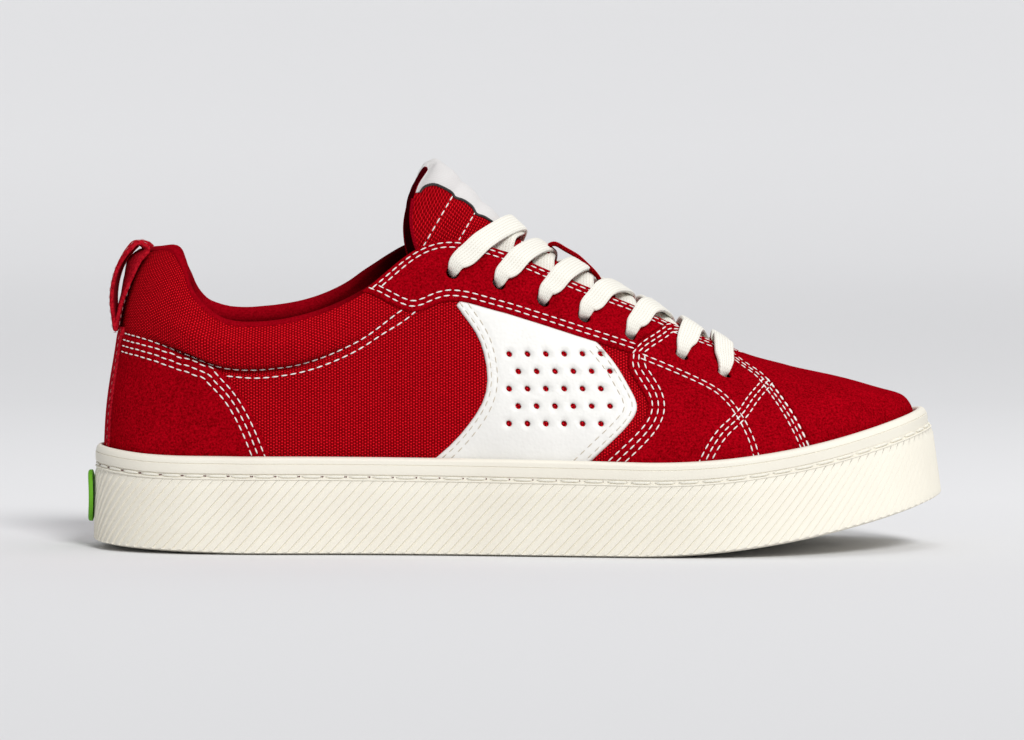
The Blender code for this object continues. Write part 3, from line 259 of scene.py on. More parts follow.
def curve_through(points, steps, closed=False):
    """A centripetal spline through the points, with the given number of steps between two of them."""
    points = np.asarray(points, float)
    if closed:
        padded = np.vstack([points[-1], points, points[:2]])
    else:
        padded = np.vstack([2 * points[0] - points[1], points, 2 * points[-1] - points[-2]])
    out = []
    for p0, p1, p2, p3 in zip(padded, padded[1:], padded[2:], padded[3:]):
        t1 = np.linalg.norm(p1 - p0) ** 0.5
        t2 = t1 + np.linalg.norm(p2 - p1) ** 0.5
        t3 = t2 + np.linalg.norm(p3 - p2) ** 0.5
        t = np.linspace(t1, t2, steps, endpoint=False)[:, None]
        a1 = (t1 - t) / t1 * p0 + t / t1 * p1
        a2 = (t2 - t) / (t2 - t1) * p1 + (t - t1) / (t2 - t1) * p2
        a3 = (t3 - t) / (t3 - t2) * p2 + (t - t2) / (t3 - t2) * p3
        b1 = (t2 - t) / t2 * a1 + t / t2 * a2
        b2 = (t3 - t) / (t3 - t1) * a2 + (t - t1) / (t3 - t1) * a3
        out.append((t2 - t) / (t2 - t1) * b1 + (t - t1) / (t2 - t1) * b2)
    if not closed:
        out.append(points[-1:])
    return np.vstack(out)


def run_of(line):
    """Running length along a polyline."""
    return np.concatenate([[0.0], np.cumsum(np.linalg.norm(np.diff(line, axis=0), axis=1))])


def read_line(line, run, at):
    """Rows of a line at running lengths."""
    return np.stack([np.interp(at, run, values) for values in line.T], axis=-1)


def at_shares(line, shares):
    """Points of a polyline at the given shares of its length."""
    run = run_of(line)
    return read_line(line, run, np.asarray(shares) * run[-1])


def unit(vectors):
    return vectors / np.linalg.norm(vectors, axis=-1, keepdims=True)


def tangents(points, closed=False):
    """The way each point of a line, or each column of a grid, goes on to the next."""
    if closed:
        return np.roll(points, -1, axis=0) - np.roll(points, 1, axis=0)
    return np.gradient(points, axis=0)


def smoothstep(low, high, value):
    t = np.clip((value - low) / (high - low), 0.0, 1.0)
    return t * t * (3 - 2 * t)


# ---- Sole outline ----
def bottom(x):
    """Height of the sole's underside: flat in the middle, rising to the toe and a little to the heel."""
    x = np.asarray(x, float)
    beyond = np.clip((x - SPRING_START) / (TOE_END - SPRING_START), 0.0, None)
    behind = np.clip((HEEL_RISE_START - x) / (HEEL_RISE_START - HEEL_TIP[0]), 0.0, None)
    return TOE_SPRING * beyond**SPRING_POWER + HEEL_RISE * behind**1.3


def wall(name, x):
    return smooth(SOLE_WALL, SOLE_WALL_COLUMNS, name, x)


def rim_top(x):
    return bottom(x) + wall("side", x)


def cup_floor(x):
    return bottom(x) + wall("floor", x)


def sole_outline(count):
    """count points round the ribbed wall, from the heel along the lateral side, and their outward normals."""
    lateral = [(x, low) for x, low, _ in SOLE_PLAN]
    medial = [(x, high) for x, _, high in reversed(SOLE_PLAN)]
    loop = curve_through([HEEL_TIP, *lateral, TOE_TIP, *medial], 60, closed=True)
    toe = int(np.argmin(np.linalg.norm(loop - np.array(TOE_TIP), axis=1)))
    shares = np.linspace(0.0, 1.0, count // 2, endpoint=False)
    there = at_shares(loop[: toe + 1], shares)
    back = at_shares(np.vstack([loop[toe:], loop[:1]]), shares)
    points = np.vstack([there, back])
    along = tangents(points, True)
    normals = unit(np.stack([along[:, 1], -along[:, 0]], axis=1))
    middle = points.mean(axis=0)
    if ((points - middle) * normals).sum() < 0:
        normals = -normals
    return points, normals


def upper_inset(x):
    """How far inside the sole's outline the upper stands."""
    return wall("lean", x) + wall("rim", x) + CUFF_ROOM


def upper_outline(count):
    points, normals = sole_outline(count)
    return points - normals * upper_inset(points[:, 0])[:, None]


# ---- Shape of the upper ----
FINE = 400  # points of the upper's own outline
SHARES = np.linspace(0.0, 1.0, 49)  # steps along a cross-section
KNOTS = np.array([0.0, 0.36, 0.70, 1.0])  # where the section meets its mid point and its shoulder


def last(name, x):
    return smooth(LAST, LAST_COLUMNS, name, x)


def edge(name, x):
    return smooth(EDGE, EDGE_COLUMNS, name, x)


def hub_of(x):
    return np.clip(x, HEEL_HUB, TOE_HUB)


def hermite(values, flat_start):
    """Rows of values at KNOTS joined smoothly over SHARES, level either at the start or at the end."""
    slopes = np.gradient(values, KNOTS, axis=1)
    slopes[:, 0] *= 0.0 if flat_start else 1.5
    slopes[:, -1] *= 1.5 if flat_start else 0.0
    index = np.clip(np.searchsorted(KNOTS, SHARES) - 1, 0, len(KNOTS) - 2)
    width = KNOTS[index + 1] - KNOTS[index]
    t = (SHARES - KNOTS[index]) / width
    return cubic(t, width, values[:, index], slopes[:, index], values[:, index + 1], slopes[:, index + 1])


def section(column):
    """Reach and rise along the cross-section of each column: upright at the outline, level at the ridge."""
    column = np.atleast_1d(column)
    one = np.ones(column.shape)
    reaches = np.stack([one, last("mid_reach", column), last("shoulder_reach", column), 0 * one], axis=1)
    rises = np.stack([0 * one, last("mid_rise", column), last("shoulder_rise", column), one], axis=1)
    return hermite(reaches, True), hermite(rises, False)


def outline_sides():
    """For each side: angle round the hub, distance from it, x, and distance from the centre line."""
    loop = upper_outline(FINE)
    halves = {-1: loop[: FINE // 2 + 1], 1: np.vstack([loop[FINE // 2 :], loop[:1]])[::-1]}
    sides = {}
    for side, half in halves.items():
        hub = hub_of(half[:, 0])
        across = np.maximum((half[:, 1] - last("centre", hub)) * side, 0.0)
        along = half[:, 0] - hub
        sides[side] = (np.arctan2(along, across), np.hypot(along, across), half[:, 0], across)
    return sides


SIDES = outline_sides()


def station_of(x, y):
    """Reach of a plan point from the centre line to the outline, and the x where its column starts."""
    hub = hub_of(x)
    centre = last("centre", hub)
    reach = np.zeros(x.shape)
    column = np.array(x, float)
    for side, (angles, far, xs, across) in SIDES.items():
        here = (y - centre) * side >= 0
        off = np.abs(y - centre)
        straight = here & (x == hub)
        reach = np.where(straight, off / np.maximum(np.interp(x, xs, across), 1.0), reach)
        turned = here & (x != hub)
        angle = np.arctan2(x - hub, off)
        distance = np.interp(angle, angles, far)
        reach = np.where(turned, np.hypot(x - hub, off) / distance, reach)
        column = np.where(turned, hub + distance * np.sin(angle), column)
    return reach, column


def turn_line(x):
    """Height where the upper leaves the vertical, inside the cup."""
    return rim_top(x) - TURN_BELOW_RIM


def surface_height(x, y):
    """Height of the upper's face over plan points, before the collar is padded."""
    x, y = np.broadcast_arrays(np.asarray(x, float), np.asarray(y, float))
    reach, column = station_of(x.ravel(), y.ravel())
    reaches, rises = section(column)
    rise = np.array([np.interp(-r, -along, up) for r, along, up in zip(reach, reaches, rises)])
    low = turn_line(column)
    return (low + (last("ridge", x.ravel()) - low) * rise).reshape(x.shape)


def side_point(x, z, side):
    """Point of the unpadded face at a given x and height, on the lateral (-1) or medial (1) side."""
    hub = float(hub_of(x))
    centre = float(last("centre", hub))
    low, high = 0.0, 70.0
    for _ in range(30):
        middle = (low + high) / 2
        reach, _ = station_of(np.array([x]), np.array([centre + side * middle]))
        inside = reach[0] < 1 and surface_height(x, centre + side * middle) > z
        low, high = (middle, high) if inside else (low, middle)
    return np.array([x, centre + side * low, z])


def throat_end(share, half):
    """Plan offset from THROAT_BEND and share of the half width, round the closed end of the throat."""
    angle = share * math.pi / 2
    return (THROAT_END - THROAT_BEND) * math.sin(angle), half * math.cos(angle) ** 0.8


def column_ends(count):
    """Plan start and end of each column: on the outline, and on the edge of collar and throat."""
    starts = upper_outline(count)
    ends = np.empty_like(starts)
    toe = count // 2
    for i, (x, y) in enumerate(starts):
        side = -1 if i <= toe else 1
        hub = float(hub_of(x))
        centre = float(last("centre", hub))
        if x <= THROAT_BEND:
            height = float(edge("lateral" if side < 0 else "medial", x))
            reaches, rises = section(x)
            low = float(turn_line(x))
            heights = low + (last("ridge", hub + reaches[0] * (x - hub)) - low) * rises[0]
            reach = float(np.interp(height, heights, reaches[0]))
            ends[i] = (hub + reach * (x - hub), centre + reach * (y - centre))
    for side in (-1, 1):
        front = [i for i in range(count) if starts[i, 0] > THROAT_BEND and (i <= toe) == (side < 0)]
        front = sorted(front, key=lambda i: abs(i - toe), reverse=True)
        bend = side_point(THROAT_BEND, float(edge("lateral", THROAT_BEND)), side)
        half = abs(bend[1] - float(last("centre", THROAT_BEND)))
        steps = len(front) + (0 if side < 0 else 1)
        for k, i in enumerate(front, start=1):
            ahead, wide = throat_end(min(k / steps, 1.0), half)
            x = THROAT_BEND + ahead
            ends[i] = (x, float(last("centre", x)) + side * wide)
    return starts, ends


def raw_grid(count, rows):
    """The upper's face before padding, as count columns of rows points from the cup floor to the edge."""
    starts, ends = column_ends(count)
    shares = np.linspace(0.0, 1.0, 160) ** 2
    plan = starts[:, None] + (ends - starts)[:, None] * shares[None, :, None]
    plan[:, 0] = starts
    heights = surface_height(plan[..., 0], plan[..., 1])
    heights[:, 0] = turn_line(starts[:, 0])
    grid = np.empty((count, rows, 3))
    for i in range(count):
        foot = [*starts[i], float(cup_floor(starts[i, 0])) + GAP]
        path = np.vstack([foot, np.column_stack([plan[i], heights[i]])])
        grid[i] = at_shares(path, np.linspace(0.0, 1.0, rows))
    return grid


def normals_of(grid, closed):
    """Unit normals of a grid of points, outwards where its columns run round the shoe as these do."""
    return unit(np.cross(tangents(grid, closed), np.gradient(grid, axis=1)))


def collar_share(grid):
    """How far up the padded collar each point is, and the x of its column."""
    columns = grid[:, 0, 0][:, None]
    lateral = (np.arange(len(grid)) <= len(grid) // 2)[:, None]
    top = np.where(lateral, edge("lateral", columns), edge("medial", columns))
    seam = edge("pad_seam", columns)
    return np.clip((grid[..., 2] - seam) / (top - seam), 0.0, 1.0), columns


def upper_faces(count, rows):
    """The upper's outer face, its normals, and its thickness at each point."""
    grid = raw_grid(count, rows)
    normals = normals_of(grid, True)
    share, columns = collar_share(grid)
    grid = grid + normals * (edge("puff", columns) * np.sin(0.75 * math.pi * share))[..., None]
    normals = normals_of(grid, True)
    return grid, normals, WALL + edge("padding", columns) * smoothstep(0.0, 0.7, share)


# ---- Fine forms that pieces are laid on ----
class Form:
    """A fine grid of points and normals that panels, seams and stitches are laid on.

    Places on it are (column, row) pairs in grid steps; lifts and distances are in millimetres.
    """

    def __init__(self, points, ways, closed):
        self.points, self.ways, self.closed = points, ways, closed
        self.columns, self.rows = points.shape[:2]
        up = np.linalg.norm(np.diff(points, axis=1), axis=2)
        along = np.linalg.norm(np.roll(points, -1, axis=0) - points, axis=2)[:, self.rows // 3]
        across = np.concatenate([[0.0], np.cumsum(along)[:-1]])
        rise = np.concatenate([np.zeros((self.columns, 1)), np.cumsum(up, axis=1)], axis=1)
        self.cloth = np.stack([np.broadcast_to(across[:, None], rise.shape), rise], axis=2)

    def read(self, grid, places):
        """Values of a grid at fractional places."""
        column, row = places[:, 0], np.clip(places[:, 1], 0, self.rows - 1.0001)
        if self.closed:
            column = column % self.columns
        else:
            column = np.clip(column, 0, self.columns - 1.0001)
        i, k = np.floor(column).astype(int), np.floor(row).astype(int)
        j = (i + 1) % self.columns
        a, b = (column - i)[:, None], (row - k)[:, None]
        low = grid[i, k] * (1 - a) + grid[j, k] * a
        high = grid[i, k + 1] * (1 - a) + grid[j, k + 1] * a
        return low * (1 - b) + high * b

    def at(self, places, lift=0.0):
        """Points lifted off the form, and the normals there."""
        ways = unit(self.read(self.ways, places))
        return self.read(self.points, places) + ways * np.broadcast_to(lift, len(places))[:, None], ways

    def spans(self, places):
        """How far the form runs for one column and for one row at each place."""
        half = np.array([[0.5, 0.0], [0.0, 0.5]])
        held = np.column_stack([places[:, 0], np.clip(places[:, 1], 0.5, self.rows - 1.6)])
        if not self.closed:
            held[:, 0] = np.clip(held[:, 0], 0.5, self.columns - 1.6)
        return [self.read(self.points, held + step) - self.read(self.points, held - step) for step in half]

    def shifted(self, line, distance, closed=False):
        """A line of places moved to its left along the form."""
        steps = max(1, round(abs(distance) / 1.2))
        line = np.array(line, float)
        for _ in range(steps):
            points, ways = self.at(line)
            left = np.cross(ways, tangents(points, closed))
            left /= np.linalg.norm(left, axis=1)[:, None] + 1e-9
            column, row = self.spans(line)
            cc, cr, rr = (column**2).sum(1), (column * row).sum(1), (row**2).sum(1)
            lc, lr = (left * column).sum(1), (left * row).sum(1)
            det = np.maximum(cc * rr - cr**2, 1e-4)
            move = np.stack([(rr * lc - cr * lr) / det, (cc * lr - cr * lc) / det], axis=1)
            line = line + move * distance / steps
            line[:, 1] = np.clip(line[:, 1], 0, self.rows - 1)
        return line

    def even(self, line, step, closed=False):
        """The line with its places an even step apart on the form."""
        if closed:
            line = np.vstack([line, line[:1]])
        run = run_of(self.at(line)[0])
        count = max(int(run[-1] / step), 4)
        at = np.linspace(0.0, run[-1], count, endpoint=not closed)
        return read_line(line, run, at)


def inside(places, outline):
    """Which places lie inside a closed outline."""
    x, y = places.T
    hits = np.zeros(len(places), bool)
    for (x0, y0), (x1, y1) in zip(outline, np.roll(outline, -1, axis=0)):
        if y0 != y1:
            hits ^= ((y0 > y) != (y1 > y)) & (x < (x1 - x0) * (y - y0) / (y1 - y0) + x0)
    return hits


def nearest(points, others):
    """Distance from each point to the nearest of the others."""
    out = np.full(len(points), 1e9)
    for start in range(0, len(others), 256):
        part = others[start : start + 256]
        gaps = (points**2).sum(1)[:, None] + (part**2).sum(1)[None, :] - 2 * points @ part.T
        out = np.minimum(out, gaps.min(axis=1))
    return np.sqrt(np.maximum(out, 0.0))


# ---- Meshes ----
def add_object(name, data):
    obj = bpy.data.objects.new(name, data)
    bpy.context.scene.collection.objects.link(obj)
    return obj


def add_mesh(name, points, faces, look, cloth=None, smooth_angle=50):
    """A mesh object from points in millimetres, with cloth coordinates in millimetres as its UV map."""
    mesh = bpy.data.meshes.new(name)
    mesh.from_pydata((np.asarray(points) * MM).tolist(), [], faces)
    if cloth is not None:
        layer = mesh.uv_layers.new(name="cloth")
        index = np.empty(len(mesh.loops), int)
        mesh.loops.foreach_get("vertex_index", index)
        layer.data.foreach_set("uv", (np.asarray(cloth)[index] * MM).astype(np.float32).ravel())
    mesh.shade_smooth()
    if smooth_angle:
        mesh.set_sharp_from_angle(angle=math.radians(smooth_angle))
    mesh.materials.append(look)
    return add_object(name, mesh)


def grid_faces(columns, rows, closed):
    """Quads of a grid stored column by column."""
    i, k = np.meshgrid(np.arange(columns if closed else columns - 1), np.arange(rows - 1), indexing="ij")
    i, k = i.ravel(), k.ravel()
    j = (i + 1) % columns
    return np.stack([i * rows + k, j * rows + k, j * rows + k + 1, i * rows + k + 1], axis=1).tolist()


def ring_faces(steps, around, closed=False, turned=False):
    """Quads between closed rings of points, ring by ring; closed joins the last ring to the first."""
    faces = []
    for i in range(steps if closed else steps - 1):
        low, high = i * around, (i + 1) % steps * around
        for k in range(around):
            n = (k + 1) % around
            quad = (low + k, low + n, high + n, high + k)
            faces.append((quad[0], *quad[:0:-1]) if turned else quad)
    return faces


def end_caps(steps, around, shift=0):
    """Bands that close the first and last ring of a sole, from one side to the other; the last is turned by shift."""
    faces, half = [], around // 2
    for start, turn in ((0, -1), ((steps - 1) * around, 1)):
        ring = start + (np.arange(around + 1) - (shift if start else 0)) % around
        at = ring.tolist()
        caps = [(at[0], at[1], at[around - 1]), tuple(at[half - 1 : half + 2])]
        caps += [(at[k], at[k + 1], at[around - k - 1], at[around - k]) for k in range(1, half - 1)]
        faces += [cap[::turn] for cap in caps]
    return faces


PANEL_EDGE = 0.45  # height of a panel's cut edge, as a share of its thickness
PLACE_SCALE = np.array([1.3, 1.2])  # millimetres that a column and a row run, about


def add_panel(name, form, outline, thick, look, holes=(), rows=(), base=SKIN_GAP, dip=0.3):
    """A panel on a form: a rounded cut edge, lace holes or perforations, and a trough under each seam."""
    border = form.even(outline, 0.9, closed=True)
    border_points = form.at(border)[0]
    hole_points = [form.at(hole)[0] for hole in holes]
    places, lifts = [], []

    def lay(more, share):
        places.append(more)
        lifts.append(np.full(len(more), share))

    for loop in (border, *holes):
        lay(loop, PANEL_EDGE)
    rim_points = np.vstack([border_points, *hole_points])
    for distance, share in ((0.45, 0.86), (1.0, 1.0)):
        ring = form.shifted(border, distance, closed=True)
        keep = nearest(form.at(ring)[0], border_points) > 0.85 * distance
        if holes:
            keep &= nearest(form.at(ring)[0], np.vstack(hole_points)) > 0.5
        lay(ring[keep & inside(ring, border)], share)
    for hole, points in zip(holes, hole_points):
        middle = hole.mean(axis=0)
        radius = np.linalg.norm(points - points.mean(axis=0), axis=1).mean()
        lay(middle + (hole - middle) * (1 + 0.45 / radius), 1.0)
    seam_points = np.empty((0, 3))
    for row in rows:
        line = form.even(row, 1.2)
        for distance, share in ((0.0, 1 - dip / thick), (0.8, 1.0), (-0.8, 1.0)):
            beside = form.shifted(line, distance) if distance else line
            points = form.at(beside)[0]
            keep = inside(beside, border) & (nearest(points, rim_points) > 0.7)
            if len(seam_points) and distance:
                keep &= nearest(points, seam_points) > 0.6
            lay(beside[keep], share)
        seam_points = np.vstack([seam_points, form.at(line)[0]])
    low, high = np.floor(border.min(axis=0)), np.ceil(border.max(axis=0))
    lattice = np.stack(np.meshgrid(np.arange(low[0], high[0] + 1), np.arange(low[1], high[1] + 1)), axis=-1)
    lattice = lattice.reshape(-1, 2)
    lattice = lattice[inside(lattice, border)]
    points = form.at(lattice)[0]
    keep = nearest(points, rim_points) > 1.5
    if len(seam_points):
        keep &= nearest(points, seam_points) > 1.35
    lay(lattice[keep], 1.0)
    places, lifts = np.vstack(places), np.concatenate(lifts)
    edges, first = [], 0
    for count in (len(loop) for loop in (border, *holes)):
        edges += [(first + i, first + (i + 1) % count) for i in range(count)]
        first += count
    verts, _, faces, origin, _, _ = delaunay_2d_cdt((places * PLACE_SCALE).tolist(), edges, [], 1, 1e-5)
    found = np.array([tuple(v) for v in verts]) / PLACE_SCALE
    shares = np.array([lifts[o[0]] if o else PANEL_EDGE for o in origin])
    faces = np.array([f for f in faces if len(f) == 3])
    centres = found[faces].mean(axis=1)
    keep = inside(centres, border)
    for hole in holes:
        keep &= ~inside(centres, hole)
    faces = faces[keep]
    a, b, c = (found[faces[:, n]] for n in range(3))
    flip = (b[:, 0] - a[:, 0]) * (c[:, 1] - a[:, 1]) - (b[:, 1] - a[:, 1]) * (c[:, 0] - a[:, 0]) < 0
    faces[flip] = faces[flip][:, ::-1]
    count = len(found)
    top, _ = form.at(found, base + thick * shares)
    bottom, _ = form.at(found, base)
    sides = np.vstack([faces[:, [0, 1]], faces[:, [1, 2]], faces[:, [2, 0]]])
    sides = dict.fromkeys(map(tuple, sides.tolist()))
    walls = [(q, p, p + count, q + count) for p, q in sides if (q, p) not in sides]
    cloth = np.vstack([form.read(form.cloth, found)] * 2)
    everything = faces.tolist() + (faces[:, ::-1] + count).tolist() + walls
    add_mesh(name, np.vstack([top, bottom]), everything, look, cloth, 60)


# ---- Geometry Nodes: stitches ----
STITCH_LINKS = (
    "given.Rows > curve.Mesh", "curve.Curve > even.Curve", "given.Pitch > even.Length", "given.Length > size.X",
    "given.Width > size.Y", "given.Height > size.Z", "bead.Mesh > shape.Geometry", "size.Vector > shape.Scale",
    "even.Curve > spread.Points", "shape.Geometry > spread.Instance", "way.Attribute > turn.Primary Axis",
    "along.Tangent > turn.Secondary Axis", "turn.Rotation > spread.Rotation", "spread.Instances > real.Geometry",
    "real.Geometry > soft.Geometry", "soft.Geometry > paint.Geometry", "given.Thread > paint.Material",
    "paint.Geometry > result.Stitches",
)
STITCH_NODES = (
    ("given", "NodeGroupInput", {}),
    ("result", "NodeGroupOutput", {}),
    ("curve", "GeometryNodeMeshToCurve", {}),
    ("even", "GeometryNodeResampleCurve", {"mode": "LENGTH"}),
    ("spread", "GeometryNodeInstanceOnPoints", {}),
    ("bead", "GeometryNodeMeshUVSphere", {"Segments": 8, "Rings": 6, "Radius": 0.5}),
    ("size", "ShaderNodeCombineXYZ", {}),
    ("shape", "GeometryNodeTransform", {}),
    ("way", "GeometryNodeInputNamedAttribute", {"data_type": "FLOAT_VECTOR", "Name": "way"}),
    ("along", "GeometryNodeInputTangent", {}),
    ("turn", "FunctionNodeAxesToRotation", {"primary_axis": "Z", "secondary_axis": "X"}),
    ("real", "GeometryNodeRealizeInstances", {}),
    ("paint", "GeometryNodeSetMaterial", {}),
    ("soft", "GeometryNodeSetShadeSmooth", {}),
)


def feed(tree, socket, value):
    if isinstance(value, bpy.types.NodeSocket):
        tree.links.new(value, socket)
    else:
        socket.default_value = value


def add_node(tree, kind, **values):
    """A new node with its settings (names in small letters) and its inputs."""
    node = tree.nodes.new(kind)
    for label, value in values.items():
        if label.islower():
            setattr(node, label, value)
        else:
            feed(tree, node.inputs[label], value)
    return node


def stitch_tree():
    """Thread stitches along every line of a mesh, lying flat by its "way" attribute."""
    tree = bpy.data.node_groups.new("Stitch rows", "GeometryNodeTree")
    numbers = [(label, "Float") for label in ("Pitch", "Length", "Width", "Height")]
    for label, kind in (("Rows", "Geometry"), *numbers, ("Thread", "Material")):
        tree.interface.new_socket(label, in_out="INPUT", socket_type="NodeSocket" + kind)
    tree.interface.new_socket("Stitches", in_out="OUTPUT", socket_type="NodeSocketGeometry")
    nodes = {label: add_node(tree, kind, **values) for label, kind, values in STITCH_NODES}
    for link in STITCH_LINKS:
        (source, output), (target, socket) = (end.split(".") for end in link.split(" > "))
        tree.links.new(nodes[source].outputs[output], nodes[target].inputs[socket])
    return tree


def add_stitches(name, rows, look, pitch, length, width, height):
    """One mesh of all the stitches along rows of (points, normals) in millimetres."""
    points = np.vstack([row[0] for row in rows])
    ways = np.vstack([row[1] for row in rows])
    edges, first = [], 0
    for row, _ in rows:
        edges += [(first + i, first + i + 1) for i in range(len(row) - 1)]
        first += len(row)
    mesh = bpy.data.meshes.new(name + "_rows")
    mesh.from_pydata((points * MM).tolist(), edges, [])
    attribute = mesh.attributes.new("way", "FLOAT_VECTOR", "POINT")
    attribute.data.foreach_set("vector", ways.astype(np.float32).ravel())
    guide = add_object(name + "_rows", mesh)
    modifier = guide.modifiers.new("Stitches", "NODES")
    modifier.node_group = STITCH_TREE
    sizes = {"Pitch": pitch, "Length": length, "Width": width, "Height": height}
    values = {"Thread": look, **{label: size * MM for label, size in sizes.items()}}
    for socket in STITCH_TREE.interface.items_tree:
        if socket.name in values:
            modifier[socket.identifier] = values[socket.name]
    bpy.context.view_layer.update()
    made = bpy.data.meshes.new_from_object(guide.evaluated_get(bpy.context.evaluated_depsgraph_get()))
    bpy.data.objects.remove(guide)
    made.name = name
    add_object(name, made)


STITCH_TREE = stitch_tree()


# ---- Finishes ----
def group_of(name, inputs, outputs):
    """A new shader group: its inputs are vectors, or numbers if they have a value, and its outputs numbers."""
    tree = bpy.data.node_groups.new(name, "ShaderNodeTree")
    for label, value in inputs:
        kind = "NodeSocketVector" if value is None else "NodeSocketFloat"
        socket = tree.interface.new_socket(label, in_out="INPUT", socket_type=kind)
        if value is not None:
            socket.default_value = value
    for label in outputs:
        tree.interface.new_socket(label, in_out="OUTPUT", socket_type="NodeSocketFloat")
    return tree, tree.nodes.new("NodeGroupInput").outputs, tree.nodes.new("NodeGroupOutput").inputs


def calc(tree, operation, a, b=None, c=None, clamp=False):
    """The output of a Math node."""
    node = add_node(tree, "ShaderNodeMath", operation=operation, use_clamp=clamp)
    for socket, value in zip(node.inputs, (a, b, c)):
        if value is not None:
            feed(tree, socket, value)
    return node.outputs[0]


def blend_colour(tree, share, low, high):
    """The output of a colour Mix node."""
    node = add_node(tree, "ShaderNodeMix", data_type="RGBA")
    for index, value in ((0, share), (6, low), (7, high)):
        feed(tree, node.inputs[index], value)
    return node.outputs[2]


def weave_group():
    """A plain weave on cloth coordinates: how high the cloth is, and a shade that is partly each thread's own random
    tone and partly painted light, lighter on high crowns and darker in the gaps.
    """
    tree, given, result = group_of(
        "Canvas weave",
        (("Cloth", None), ("Warp pitch", 0.001), ("Weft pitch", 0.0006), ("Slub", 0.3)),
        ("Height", "Shade"),
    )
    wander = add_node(tree, "ShaderNodeTexNoise", Vector=given["Cloth"], Scale=260.0)
    split = add_node(tree, "ShaderNodeSeparateXYZ", Vector=given["Cloth"])
    sway = calc(tree, "MULTIPLY", calc(tree, "SUBTRACT", wander.outputs["Fac"], 0.5), given["Slub"])
    u = calc(tree, "ADD", calc(tree, "DIVIDE", split.outputs["X"], given["Warp pitch"]), sway)
    v = calc(tree, "ADD", calc(tree, "DIVIDE", split.outputs["Y"], given["Weft pitch"]), sway)
    across, up = (calc(tree, "ABSOLUTE", calc(tree, "SINE", calc(tree, "MULTIPLY", line, math.pi))) for line in (u, v))
    crown = calc(tree, "MULTIPLY", across, up)
    under = calc(tree, "FLOORED_MODULO", calc(tree, "ADD", calc(tree, "FLOOR", u), calc(tree, "FLOOR", v)), 2.0)
    height = calc(tree, "MULTIPLY", crown, calc(tree, "MULTIPLY_ADD", under, -0.62, 1.0))
    tree.links.new(height, result["Height"])
    cell = add_node(tree, "ShaderNodeCombineXYZ", X=calc(tree, "FLOOR", u), Y=calc(tree, "FLOOR", v))
    thread = add_node(tree, "ShaderNodeTexWhiteNoise", noise_dimensions="2D", Vector=cell.outputs[0])
    # Shade follows height: painted highlight on the crowns and painted shade between them, times a random tone for
    # each thread.
    raised = calc(tree, "POWER", height, 1.5)
    shade = calc(tree, "MULTIPLY", raised, calc(tree, "MULTIPLY_ADD", thread.outputs["Value"], 0.9, 1.25))
    tree.links.new(calc(tree, "MINIMUM", shade, 1.0), result["Shade"])
    return tree


def nap_group():
    """Short fibres at several sizes: how high the surface is, and its fine speckle and broad mottle."""
    tree, given, result = group_of(
        "Fibre nap",
        (("Place", None), ("Fine", 1400.0), ("Broad", 90.0)),
        ("Height", "Speckle", "Mottle"),
    )
    parts = []
    for size, roughness in (("Fine", 0.65), ("Broad", 0.55)):
        place = {"Vector": given["Place"], "Scale": given[size], "Detail": 3.0, "Roughness": roughness}
        parts.append(add_node(tree, "ShaderNodeTexNoise", **place).outputs["Fac"])
    fine, broad = parts
    speckle = calc(tree, "SMOOTH_MIN", calc(tree, "MULTIPLY_ADD", fine, 3.0, -1.0, clamp=True), 1.0, 0.1)
    tree.links.new(speckle, result["Speckle"])
    tree.links.new(calc(tree, "MULTIPLY_ADD", broad, 2.4, -0.7, clamp=True), result["Mottle"])
    tree.links.new(calc(tree, "MULTIPLY_ADD", fine, 0.7, calc(tree, "MULTIPLY", broad, 0.3)), result["Height"])
    return tree


def knit_group():
    """Ribs along a flat lace and the small slanting stitches of its knit, on lace coordinates, with a shade that
    follows their height as painted light.
    """
    tree, given, result = group_of(
        "Lace knit",
        (("Lace", None), ("Rib", 0.0009), ("Stitch", 0.0011)),
        ("Height", "Shade"),
    )
    split = add_node(tree, "ShaderNodeSeparateXYZ", Vector=given["Lace"])
    across = calc(tree, "DIVIDE", split.outputs["X"], given["Rib"])
    along = calc(tree, "DIVIDE", split.outputs["Y"], given["Stitch"])
    rib = calc(tree, "ABSOLUTE", calc(tree, "SINE", calc(tree, "MULTIPLY", across, math.pi)))
    slant = calc(tree, "MULTIPLY", calc(tree, "PINGPONG", across, 1.0), 0.9)
    loop = calc(tree, "SINE", calc(tree, "MULTIPLY", calc(tree, "ADD", along, slant), 2 * math.pi))
    loop = calc(tree, "MULTIPLY_ADD", loop, 0.5, 0.5)
    height = calc(tree, "MULTIPLY_ADD", loop, 0.35, calc(tree, "MULTIPLY", rib, 0.65))
    tree.links.new(height, result["Height"])
    # Shade follows the height: painted highlight on ribs and stitches, painted shade in the grooves.
    tree.links.new(calc(tree, "POWER", height, 0.6), result["Shade"])
    return tree


WEAVE, NAP, KNIT = weave_group(), nap_group(), knit_group()


